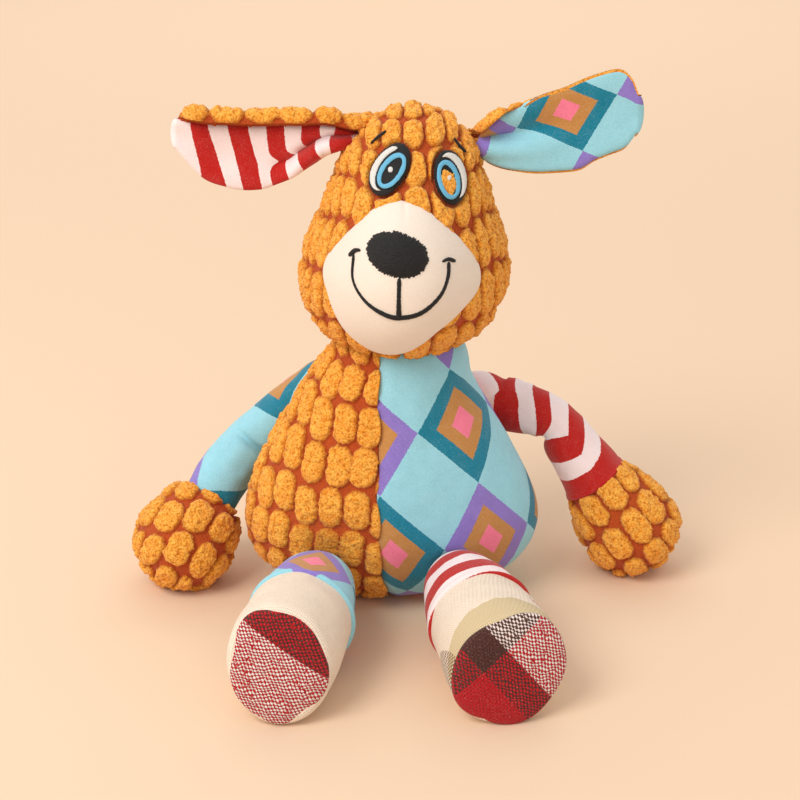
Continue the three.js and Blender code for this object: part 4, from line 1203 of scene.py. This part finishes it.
def across_axes(way):
    """Two directions across an axis, the first level and the second upward."""
    first = unit(np.cross([0, 0, 1.0], way))
    return first, np.cross(way, first)


def rolled(x, y, roll):
    """x and y turned by an angle."""
    return x * np.cos(roll) - y * np.sin(roll), x * np.sin(roll) + y * np.cos(roll)


def leg_ring(side, share, scale, angle):
    """Points round a leg at a share of its length. Its rings turn from the leg's way to the sole's."""
    leg = LEGS[side]
    turn = ease(share, 0.3, 1)[..., None]
    way = unit(leg["way"] * (1 - turn) + leg["sole"] * turn)
    first, second = across_axes(way)
    wide, high = (through(LEG_AT, radii, share) * scale for radii in (LEG_WIDE, LEG_HIGH))
    px, py = rolled(wide * np.cos(angle), high * np.sin(angle), leg["roll"] * ease(share, 0.3, 1))
    centre = joint_at(side + "_hip") + leg["way"] * (LEG_L * share)[..., None]
    return centre + px[..., None] * first + py[..., None] * second


def leg_points(side, shares, scale, angle, puff):
    """A closed tube of such rings, with poles at both ends and the ground cut flat."""
    points = leg_ring(side, shares + 0 * angle, scale + 0 * angle, angle + 0 * shares)
    centre = points.mean(1, keepdims=True)
    points = points + puff[..., None] * unit(points - centre)
    points[:, -1] = points[:, 0]
    points[..., 2] = np.maximum(points[..., 2], 0)
    return capped(points)


for side, leg in LEGS.items():
    print(side, "foot's end at", (joint_at(side + "_hip") + LEG_L * leg["way"]).round(1).tolist())

# %% Cuffs
ROUND_LEG = np.linspace(0, 2 * np.pi, even_count(140, 1.2))[None]
HIP_R, TUBE_ROWS = 18, 41
CUFF_PRINT = {"centre": (32.0, -33.0), "first": (22.0, 22.0), "second": (-22.0, 22.0)}
CUFF_STRIPE, FIRST_STRIPE = 16.5, 11.0


def cuff(side, fold_seed):
    """A ball in the hip and a tube out of it, loosely folded, with a hem that stands up and turns in."""
    ball = np.linspace(-np.pi / 2 + 0.05, 0, 17)[:-1]
    shares = np.r_[HIP_R * np.sin(ball) / LEG_L, np.linspace(0, CUFF_END + 0.03, TUBE_ROWS)][:, None]
    scale = np.r_[np.cos(ball), np.ones(TUBE_ROWS)][:, None]
    stand, turn_in = ease(shares, CUFF_END - 0.05, CUFF_END), ease(shares, CUFF_END + 0.015, CUFF_END + 0.03)
    hem = 1.3 * stand - 1.6 * turn_in
    fold = lumps(on_tube(22, ROUND_LEG, LEG_L * shares) * [1, 1, 0.6], 9, fold_seed)
    fold = fold * ease(shares, -0.2, 0.05)
    loose = fold * (1 - ease(shares, CUFF_END - 0.06, CUFF_END))
    points = leg_points(side, shares, scale, ROUND_LEG, hem + loose)
    length = np.r_[0, LEG_L * shares[:, 0], LEG_L * shares[-1, 0]][:, None] + 0 * ROUND_LEG
    angle = ROUND_LEG + 0 * length
    if side == "left":
        place = np.stack([(length - FIRST_STRIPE) / CUFF_STRIPE + 0.06 * np.sin(2 * angle), angle], -1)
    else:
        place = lattice(22 * angle, length, **CUFF_PRINT)
    return sew(side + "_cuff_cloth", [points], [place])


print("cuffs end", round(CUFF_END * LEG_L, 1), "mm from the hip")

# %% Uppers
UPPER_ROWS, UPPER_END = 55, 0.955
LINEN_START = {"right": -40, "left": 0}


def foot_upper(side):
    """A linen tube from under the cuff's hem to the foot's end, where it rounds in under the sole."""
    bend = np.linspace(0, np.pi / 2, 13)[1:]
    straight = np.linspace(CUFF_END - 0.03, UPPER_END, UPPER_ROWS)
    shares = np.r_[straight, UPPER_END + 0.075 * np.sin(bend)][:, None]
    scale = np.r_[np.ones(UPPER_ROWS), 1 - 0.2 * (1 - np.cos(bend))][:, None]
    soft = 0.5 * lumps(on_tube(24, ROUND_LEG, LEG_L * shares), 10, 95)
    points = leg_points(side, shares, scale, ROUND_LEG, soft)
    length = for_poles(shares) * LEG_L + 0 * ROUND_LEG
    place = np.stack([24 * (ROUND_LEG - np.pi / 2) + 0 * length, length + LINEN_START[side]], -1)
    return sew(side + "_foot_linen", [points], [place])


cuffs, uppers = {}, {}
for side, fold_seed in (("right", 93), ("left", 91)):
    cuffs[side] = cuff(side, fold_seed)
    uppers[side] = foot_upper(side)
tell("legs", [*cuffs.values(), *uppers.values()])

# %% Soles
THREADS_APART = (0.85, 1.2)
THREAD_RISE = 0.22
SOLE_HALF, SOLE_BULGE = {"right": (20.4, 24.2), "left": (21.6, 25.4)}, 5.2
CLOTH_TURN = {"right": (np.radians(-123), (21.4, 25.0)), "left": (np.radians(40), (8.6, 8.1))}


def sole(side, pitch=0.4):
    """A woven cushion over the foot's end. Its threads cross over and under, and its uv is in millimetres
    across the cloth's bands and along them, turned and moved as the cloth was cut."""
    leg = LEGS[side]
    way = leg["sole"]
    first, second = across_axes(way)
    centre = joint_at(side + "_hip") + leg["way"] * LEG_L + way * 0.2
    rings, spokes = even_count(25, pitch), even_count(148, pitch)
    share = np.r_[np.linspace(0.004, 1, rings), np.linspace(1, 0.004, 7)[1:]][:, None]
    angle = np.linspace(0, 2 * np.pi, spokes)[None]
    uneven = 1 + 0.025 * np.cos(3 * angle + 0.6) + 0.02 * np.cos(5 * angle + 2.0)
    wide, high = SOLE_HALF[side]
    x, y = wide * uneven * share * np.cos(angle), high * uneven * share * np.sin(angle)
    px, py = rolled(x, y, leg["roll"])
    turn, start = CLOTH_TURN[side]
    a = px * np.cos(turn) + py * np.sin(turn) + start[0]
    b = px * np.sin(turn) - py * np.cos(turn) + start[1]
    top = (np.arange(len(share)) < rings)[:, None]
    weave = THREAD_RISE * np.sin(np.pi * a / THREADS_APART[0]) * np.sin(np.pi * b / THREADS_APART[1])
    bulge = -0.6 + SOLE_BULGE * dome(share, 3) + 0.4 * lumps(np.stack([x, y, 0 * x], -1), 9, 97)
    height = np.where(top, bulge + weave * (1 - share**8), -1.4)
    points = centre + px[..., None] * first + py[..., None] * second + height[..., None] * way
    points[:, -1] = points[:, 0]
    points[..., 2] = np.maximum(points[..., 2], 0)
    points[0], points[-1] = points[0].mean(0), points[-1].mean(0)
    return sew(side + "_sole_weave", [points], [np.stack([a, b], -1)])


soles = {side: sole(side) for side in LEGS}
tell("soles", soles.values())

# %% [markdown]
# ## Stuffing
# Behind the covers there is fibre fill, one wad for each CAD solid of it. A wad is that solid with its
# corners merged and its surface made lumpy, a little inside the form. It is moved as its cover was: drawn in
# with the printed half, and sagged and thinned with the sleeves.

# %% Wads
FULL_SLEEVE, NECK_PINCH = 13.2, 0.42
TUCKED, SAG_FROM = 0.16, 9


def slack(side, lower, place):
    """An arm's stuffing moved with its sleeve: sagged from the joints' line, and thinned with it."""
    start = in_frame(joint_at(side + ("_elbow" if lower else "_shoulder")))
    way = FORE_WAY[side] if lower else upper_way(side)
    run = (place - start) @ way
    middle = start + run[:, None] * way
    along = run / MM + (UPPER_L if lower else 0)
    thin = np.minimum(through(SLEEVE_AT[side], SLEEVE_R[side], np.clip(along, 0, WRIST)) / FULL_SLEEVE, 1)
    if side == "right":
        in_neck = ease(along, WRIST - 3, WRIST + 3) * (1 - ease(along, WRIST + 7, WRIST + 17))
        thin = thin * (1 - NECK_PINCH * in_neck)
    thin = thin * (TUCKED + (1 - TUCKED) * ease(along, -5, 19))
    return middle + (place - middle) * thin[:, None] + sag(side, np.maximum(along, SAG_FROM)) * MM


def wad(node, seed):
    """A lumpy copy of a CAD stuffing node, in the same place."""
    bm = bmesh.new()
    bm.from_mesh(NODE[node].data)
    bmesh.ops.remove_doubles(bm, verts=bm.verts, dist=1e-6)
    bmesh.ops.recalc_face_normals(bm, faces=bm.faces)
    me = bpy.data.meshes.new(node + "_wad")
    bm.to_mesh(me)
    bm.free()
    place, out = np.empty((2, len(me.vertices), 3), np.float32)
    me.vertices.foreach_get("co", place.ravel())
    me.vertices.foreach_get("normal", out.ravel())
    rise = -0.35 + 0.3 * lumps(place / MM, 5, seed)
    moved = place + out * (rise * MM)[:, None]
    if node.startswith("torso"):
        moved = moved + in_frame(drawn_in(place / MM - SHIFT)) - place
    if "arm_stuffing" in node:
        moved = moved + slack(node.split("_")[0], node.endswith("lower"), place) - place
    me.vertices.foreach_set("co", moved.astype(np.float32).ravel())
    me.update()
    return add_object(node + "_wad", me)


FIRST_SEED = 100
wads = {name: wad(name, FIRST_SEED + k) for k, name in enumerate(n for n in NODE if "stuffing" in n)}
tell("wads", wads.values())

# %% [markdown]
# ## Materials
# Every cloth is worked out from its own coordinates: pile loops from cells, prints and stripes from the
# cloth's uv, weaves from the threads' numbers. A painted image would do as well, but it would blur up close,
# and a pattern in millimetres is the same size on every piece.

# %% Written colours
FINISH = {}


def rgb(code):
    """A written sRGB colour as linear light."""
    c = np.array([int(code[k:k + 2], 16) for k in (1, 3, 5)]) / 255
    return (*np.where(c <= 0.04045, c / 12.92, ((c + 0.055) / 1.055) ** 2.4), 1.0)


print("a middle grey as linear light:", round(float(rgb("#808080")[0]), 3))


# %% Node helper
class Cloth:
    """A material under construction. Each method adds a node and gives its output."""

    def __init__(self, name, roughness=0.9, sheen=0.0, specular=0.2, metallic=0.0):
        """A new material of that name, with what is the same all over it set on the shader."""
        self.name = name
        self.material = bpy.data.materials.new(name)
        self.material.use_nodes = True
        self.nodes, self.links = self.material.node_tree.nodes, self.material.node_tree.links
        self.shader = self.nodes["Principled BSDF"]
        self.shader.inputs["Roughness"].default_value = roughness
        self.shader.inputs["Sheen Weight"].default_value = sheen
        self.shader.inputs["Sheen Roughness"].default_value = 0.5
        self.shader.inputs["Specular IOR Level"].default_value = specular
        self.shader.inputs["Metallic"].default_value = metallic

    def feed(self, socket, value):
        """Link an output, or set a constant."""
        if isinstance(value, bpy.types.NodeSocket):
            self.links.new(value, socket)
        else:
            socket.default_value = value

    def math(self, operation, a, b=0.0):
        """One of the Math node's operations."""
        node = self.nodes.new("ShaderNodeMath")
        node.operation = operation
        self.feed(node.inputs[0], a)
        self.feed(node.inputs[1], b)
        return node.outputs[0]

    def plus(self, a, b):
        """a + b."""
        return self.math("ADD", a, b)

    def less(self, a, b):
        """a - b."""
        return self.math("SUBTRACT", a, b)

    def times(self, a, b):
        """a * b."""
        return self.math("MULTIPLY", a, b)

    def size_of(self, a):
        """a without its sign."""
        return self.math("ABSOLUTE", a)

    def odd(self, a):
        """1 for odd whole numbers, 0 for even ones."""
        return self.math("FLOORED_MODULO", a, 2.0)

    def mix(self, share, a, b):
        """Colour a with a share of colour b. Either is a written colour or an output."""
        node = self.nodes.new("ShaderNodeMix")
        node.data_type = "RGBA"
        self.feed(node.inputs["Factor"], share)
        self.feed(node.inputs[6], rgb(a) if isinstance(a, str) else a)
        self.feed(node.inputs[7], rgb(b) if isinstance(b, str) else b)
        return node.outputs[2]

    def pile(self):
        """The pile's height on the mesh."""
        node = self.nodes.new("ShaderNodeAttribute")
        node.attribute_name = "pile"
        return node.outputs["Fac"]

    def place(self):
        """Object coordinates, in metres."""
        return self.nodes.new("ShaderNodeTexCoord").outputs["Object"]

    def cloth(self):
        """The two numbers of the cloth's uv."""
        node = self.nodes.new("ShaderNodeUVMap")
        node.uv_map = "cloth"
        split = self.nodes.new("ShaderNodeSeparateXYZ")
        self.links.new(node.outputs[0], split.inputs[0])
        return split.outputs[0], split.outputs[1]

    def noise(self, size, detail=2.0, rough=0.5):
        """Soft noise from 0 to 1, its cells about that many millimetres."""
        node = self.nodes.new("ShaderNodeTexNoise")
        self.links.new(self.place(), node.inputs["Vector"])
        node.inputs["Scale"].default_value = 1 / (size * MM)
        node.inputs["Detail"].default_value = detail
        node.inputs["Roughness"].default_value = rough
        return node.outputs[0]

    def jog(self, size, amount):
        """Noise of that size which goes up and down by half the amount."""
        return self.times(self.less(self.noise(size), 0.5), amount)

    def cells(self, size):
        """Distance from the nearest of many scattered points that many millimetres apart."""
        node = self.nodes.new("ShaderNodeTexVoronoi")
        self.links.new(self.place(), node.inputs["Vector"])
        node.inputs["Scale"].default_value = 1 / (size * MM)
        return node.outputs["Distance"]

    def step(self, value, low, high):
        """0 below low, 1 above high, smooth between."""
        node = self.nodes.new("ShaderNodeMapRange")
        node.interpolation_type = "SMOOTHSTEP"
        self.feed(node.inputs["Value"], value)
        node.inputs["From Min"].default_value, node.inputs["From Max"].default_value = low, high
        return node.outputs[0]

    def finish(self, colour, height=None, deep=0.3):
        """The colour, and a bump that many millimetres deep."""
        self.feed(self.shader.inputs["Base Color"], rgb(colour) if isinstance(colour, str) else colour)
        if height is not None:
            bump = self.nodes.new("ShaderNodeBump")
            bump.inputs["Distance"].default_value = deep * MM
            bump.inputs["Strength"].default_value = 1.0
            self.links.new(height, bump.inputs["Height"])
            self.links.new(bump.outputs[0], self.shader.inputs["Normal"])
        FINISH[self.name] = self.material
        print("finish:", self.name, "of", len(self.nodes), "nodes")
        return self.material


# %% Bubble corduroy
def bubble_cord():
    """Golden loops on the bubbles, orange-red ground between them, a painted highlight on the loop tips,
    painted shade as dark specks where loops part, and painted shade as a darker foot round each bubble."""
    m = Cloth("bubble_cord", 0.95, 0.12)
    loops = m.cells(1.0)
    gold = m.mix(m.step(m.noise(2.6, 3), 0.3, 0.7), "#F0962D", "#FFB74A")
    # painted highlight: the middles of the loops, their tips, turn a lighter yellow
    gold = m.mix(m.times(m.step(loops, 0.45, 0.1), 0.7), gold, "#FFCA6C")
    # painted shade: dark specks in the gaps where the loops part
    gold = m.mix(m.times(m.step(loops, 0.5, 0.9), 0.65), gold, "#A8560C")
    height = m.plus(m.pile(), m.jog(0.9, 0.35))
    # painted shade: a darker band at the foot of each bubble, where it rises from the ground
    gold = m.mix(m.times(m.step(height, 0.85, 0.3), 0.6), gold, "#B0580E")
    ground = m.mix(m.noise(0.6), "#A84016", "#CC5C26")
    colour = m.mix(m.step(height, 0.16, 0.34), ground, gold)
    return m.finish(colour, m.less(m.times(m.noise(0.45), 0.6), loops), 0.5)


bubble_cord()


# %% Printed and striped velour
def nap(m, colour, light):
    """Short pile that catches light unevenly: the colour a little darker in patches, with a fine grain."""
    grain = m.plus(m.times(m.noise(0.5, 3, 0.7), 0.85), m.times(m.noise(5.0), 0.2))
    dark = m.times(m.step(grain, 0.56, 0.3), light)
    pale = m.times(m.step(grain, 0.5, 0.75), 0.6 * light)
    return m.mix(pale, m.mix(dark, colour, "#241A18"), "#FFFFFF")


def diamond_velour():
    """Diamonds in a chequer: plain aqua ones, and nested ones with a teal or purple border round tan and
    pink. far is the distance from a diamond's middle, 0.5 at its edge."""
    m = Cloth("diamond_velour", 0.85, 0.25)
    a, b = m.cloth()
    rag = m.jog(0.8, 0.03)
    a, b = m.plus(a, rag), m.plus(b, rag)
    middle_a, middle_b = m.math("ROUND", a), m.math("ROUND", b)
    odd_a, odd_b = m.odd(middle_a), m.odd(middle_b)
    plain = m.size_of(m.less(odd_a, odd_b))
    far = m.math("MAXIMUM", m.size_of(m.less(a, middle_a)), m.size_of(m.less(b, middle_b)))
    nested = m.mix(m.step(far, 0.135, 0.145), "#F9809F", "#C48A48")
    border = m.mix(odd_a, "#057F9B", "#8E79CC")
    nested = m.mix(m.step(far, 0.305, 0.315), nested, border)
    return m.finish(nap(m, m.mix(plain, nested, "#98D6E6"), 0.17), m.noise(0.4), 0.25)


def striped_velour():
    """Red and pinkish white stripes, half a unit of the cloth each."""
    m = Cloth("striped_velour", 0.85, 0.2)
    part = m.math("FRACT", m.plus(m.cloth()[0], m.jog(0.8, 0.05)))
    white = m.less(m.step(part, 0.49, 0.51), m.step(part, 0.99, 1.0))
    return m.finish(nap(m, m.mix(white, "#BE1810", "#FAE8E8"), 0.12), m.noise(0.4), 0.25)


diamond_velour()
striped_velour()


# %% Plush and thread
def muzzle_plush():
    """Short cream plush."""
    m = Cloth("muzzle_plush", 0.9, 0.3)
    return m.finish(nap(m, "#EFE1D3", 0.05), m.noise(0.45), 0.25)


def thread(name, colour, dark):
    """Satin stitches: fine ridges over the bead."""
    m = Cloth(name, 0.6, 0.1, 0.35)
    fine = m.noise(0.35)
    return m.finish(m.mix(fine, dark, colour), fine, 0.3)


muzzle_plush()
for dye, colour, dark in (("black", "#100E0E", "#060505"), ("white", "#F2F0EC", "#C9C5BD"),
                          ("blue", "#84CCEA", "#3C97C2")):
    thread("thread_" + dye, colour, dark)


# %% Weaves
def crossing(m, a, b):
    """Which of two threads is on top, 1 for the one numbered by a, and the weave's height."""
    top = m.odd(m.plus(m.math("FLOOR", a), m.math("FLOOR", b)))
    ridge_a, ridge_b = (m.math("SINE", m.times(m.math("FRACT", n), np.pi)) for n in (a, b))
    return top, m.plus(m.times(ridge_a, top), m.times(ridge_b, m.less(1.0, top)))


LINEN_THREADS = 1.05
ARC = {"from": 55.5, "middle": 26.0, "half": 30.0, "droop": 5.0}


def linen():
    """Cream plain weave, with painted shade as dots where its threads dip. Near the sole an arc of it is a
    coarser beige cloth, and the ends of that arc are dashed, brown on one side and red on the other."""
    m = Cloth("linen", 0.9, 0.1)
    a, b = m.cloth()
    top, height = crossing(m, m.times(a, LINEN_THREADS), m.times(b, LINEN_THREADS))
    side = m.math("DIVIDE", m.less(a, ARC["middle"]), ARC["half"])
    far = m.size_of(side)
    near = m.less(m.plus(b, m.times(m.noise(6.0), 3.0)), m.times(m.math("POWER", far, 3.0), ARC["droop"]))
    beige = m.step(near, ARC["from"] - 0.1, ARC["from"] + 0.1)
    colour = m.mix(m.noise(2.5, 3), "#F2DEC8", "#FCEEDD")
    colour = m.mix(beige, colour, "#DCC8A0")
    ends = m.times(m.less(m.step(far, 0.86, 0.9), m.step(far, 1.4, 1.45)), m.step(b, 46.0, 47.0))
    dashes = m.mix(m.step(side, -0.1, 0.1), "#B42A26", "#5A3A2A")
    colour = m.mix(m.times(ends, m.times(top, 0.9)), colour, dashes)
    # painted shade in the hollows where the threads dip, deeper on the beige cloth
    dip = m.times(m.step(height, 0.55, 0.15), m.plus(0.5, m.times(beige, 0.25)))
    return m.finish(m.mix(dip, colour, "#B49068"), height, 0.14)


WARP = [(0.0, "#4E2C26"), (13.2, "#F3E4DC"), (46.0, "#BE1A20")]


def plaid():
    """A checked plain weave. Across it the warp is red, brown, white, then red; along it the weft is brown,
    then red. Slubs, thick places in the weft, cover the warp here and there. Painted shade darkens the
    hollows where the threads dip."""
    m = Cloth("plaid", 0.9, 0.1)
    a, b = m.cloth()
    wander = m.jog(5.0, 2.4)
    top, height = crossing(m, m.math("DIVIDE", m.plus(a, wander), THREADS_APART[0]),
                           m.math("DIVIDE", m.less(b, wander), THREADS_APART[1]))
    top = m.times(top, m.less(1.0, m.step(m.noise(1.3), 0.6, 0.64)))
    warp = "#BE1A20"
    for start, dye in WARP:
        warp = m.mix(m.step(a, start, start + 0.1), warp, dye)
    weft = m.mix(m.step(b, 0.0, 0.1), "#54302A", "#BC1A22")
    colour = m.mix(top, weft, warp)
    colour = m.mix(m.times(m.step(m.noise(0.5), 0.55, 0.75), 0.25), colour, "#E8B4A4")
    # painted shade in the hollows where the threads dip
    colour = m.mix(m.times(m.step(height, 0.5, 0.05), 0.5), colour, "#34100F")
    return m.finish(colour, height, 0.35)


linen()
plaid()


# %% Fill, plastic and brass
def stuffing():
    """White fibre fill."""
    m = Cloth("stuffing", 1.0, 0.2)
    return m.finish(m.mix(m.noise(2.0, 3), "#D8D6D0", "#F4F3EF"), m.noise(0.6, 3), 0.5)


def squeaker_plastic():
    """Milky polyethylene with a faint mould grain."""
    m = Cloth("squeaker_plastic", 0.35, 0.0, 0.5)
    return m.finish(m.mix(m.noise(1.5), "#E9ECEC", "#F6F7F6"), m.noise(0.4), 0.03)


def reed_brass():
    """Thin rolled brass."""
    m = Cloth("reed_brass", 0.3, 0.0, 0.5, 1.0)
    return m.finish(m.mix(m.noise(1.0), "#B8913F", "#D1AC58"), m.noise(0.3), 0.02)


stuffing()
squeaker_plastic()
reed_brass()
print("materials:", len(FINISH))

# %% [markdown]
# ## Put each piece on its body
# A piece rides on one body of the frame, or is shared between two where cloth crosses a joint, and stands
# in for the CAD nodes it covers.

# %% Ride, replace and colour
def colour_with(obj, slot):
    """One finish for a whole piece."""
    obj.data.materials.clear()
    obj.data.materials.append(FINISH[slot])


def dress(obj, slot, replaced, body=None):
    """Give a piece the material named by its slot, the nodes it stands for, and its body."""
    colour_with(obj, slot)
    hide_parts(*replaced)
    if body:
        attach(obj, body)


def share_out(obj, body, other, start, end):
    """Blend a piece from one body to another between two points of the drawing."""
    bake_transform(obj, body, other, in_frame(start).tolist(), in_frame(end).tolist())


print("finishes to dress with:", list(FINISH))

# %% Torso and head pieces
dress(torso_right, "bubble_cord", ["torso_cover_right"], "torso")
dress(torso_left, "diamond_velour", ["torso_cover_left"], "torso")
dress(head_front, "bubble_cord", ["head_front_cover"], "head")
dress(pupil, "bubble_cord", ["head_front_cover"], "head")
dress(head_back, "bubble_cord", ["head_back_cover"], "head")
dress(muzzle, "muzzle_plush", ["muzzle_patch"], "head")
dress(nose, "thread_black", ["nose_embroidery"], "head")
dress(mouth, "thread_black", ["mouth_embroidery"], "head")
THREADS = {"base": "thread_black", "white": "thread_white", "iris": "thread_blue", "brow": "thread_black"}
for side, parts in eyes.items():
    for part, obj in parts.items():
        dress(obj, THREADS[part], [f"{side}_brow" if part == "brow" else f"{side}_eye_{part}"], "head")
print("stitched pieces on the head:", 2 + len(THREADS) * len(eyes))

# %% Ears, limbs and filling
VELOUR = {"right": {"ear": "striped_velour", "limb": "diamond_velour"},
          "left": {"ear": "diamond_velour", "limb": "striped_velour"}}
EAR_BLEND, ELBOW_BLEND = (2, 9), 10
for side, velour in VELOUR.items():
    dress(ears[side, "front"], velour["ear"], [side + "_ear_front"], None)
    dress(ears[side, "back"], "bubble_cord", [side + "_ear_back"], None)
    seat = joint_at(side + "_ear_flop")
    root, next_to_it = ear_sheet(side, np.array([0.0, 1.0]), np.array([0.5, 0.5]))
    outward = unit(next_to_it - root)
    for part in ("front", "back"):
        share_out(ears[side, part], "head", side + "_ear", seat - EAR_BLEND[0] * outward,
                  seat + EAR_BLEND[1] * outward)
    dress(sleeves[side], velour["limb"], [side + "_sleeve_upper", side + "_sleeve_lower"], None)
    elbow = joint_at(side + "_elbow")
    share_out(sleeves[side], side + "_upper_arm", side + "_forearm", elbow - ELBOW_BLEND * upper_way(side),
              elbow + ELBOW_BLEND * FORE_WAY[side])
    dress(paws[side], "bubble_cord", [side + "_paw"], side + "_forearm")
    dress(cuffs[side], velour["limb"], [side + "_cuff"], side + "_leg")
    dress(uppers[side], "linen", [side + "_foot_upper"], side + "_leg")
    dress(soles[side], "plaid", [side + "_sole"], side + "_leg")
for name, obj in wads.items():
    dress(obj, "stuffing", [name], body_of(NODE[name])[0])
for name, obj in NODE.items():
    if name.startswith("squeaker"):
        colour_with(obj, "reed_brass" if name == "squeaker_reed" else "squeaker_plastic")
print("dressed:", len(ears) + 5 * len(VELOUR), "pieces of ears and limbs,", len(wads), "of filling")

# %% [markdown]
# ## Floor, light and camera
# A warm seamless floor, a large soft light from the upper left and a pale sky. A second, wide light stands at
# the back and lights the floor there, so that it runs into the distance without an edge.

# %% Camera and floor
VIEW_FROM, VIEW_TILT = [4.7, -610.0, 363.45], 68
LENS, SENSOR = 70, 36
FLOOR = [(-4, -3, 0), (4, -3, 0), (4, 6, 0), (-4, 6, 0)]
lens = bpy.data.cameras.new("camera")
lens.lens, lens.sensor_width = LENS, SENSOR
camera = add_object("camera", lens)
camera.location = in_frame(VIEW_FROM)
camera.rotation_euler = (np.radians(VIEW_TILT), 0, 0)
bpy.context.scene.camera = camera
floor_mesh = bpy.data.meshes.new("floor")
floor_mesh.from_pydata(FLOOR, [], [(0, 1, 2, 3)])
floor_mesh.materials.append(Cloth("paper", 0.95).finish("#EACDB0"))
floor = add_object("floor", floor_mesh)
print("camera at", np.round(camera.location, 3).tolist(), "m")


# %% Light
WARM, SKY, SKY_STRENGTH = (1, 0.98, 0.95), (1.0, 0.98, 0.955, 1), 0.78


def soft_light(name, watts, size, place, target):
    """A square area light at a place in metres, turned to a target."""
    data = bpy.data.lights.new(name, "AREA")
    data.energy, data.size, data.color = watts, size, WARM
    lamp = add_object(name, data)
    lamp.location = place
    back = unit(np.array(place) - np.array(target))
    lamp.rotation_euler = (np.arccos(back[2]), 0, np.arctan2(back[0], -back[1]))
    return lamp


lamps = [soft_light("key", 14.5, 0.8, (-0.8, -0.75, 1.25), (0, 0, 0.1)),
         soft_light("back", 26, 2.5, (0.0, 2.2, 2.2), (0, 3.2, 0.0))]
sky = bpy.data.worlds.new("sky")
sky.use_nodes = True
sky.node_tree.nodes["Background"].inputs["Color"].default_value = SKY
sky.node_tree.nodes["Background"].inputs["Strength"].default_value = SKY_STRENGTH
bpy.context.scene.world = sky
bpy.context.scene.view_settings.view_transform = "Standard"
print("lights:", [lamp.name for lamp in lamps])
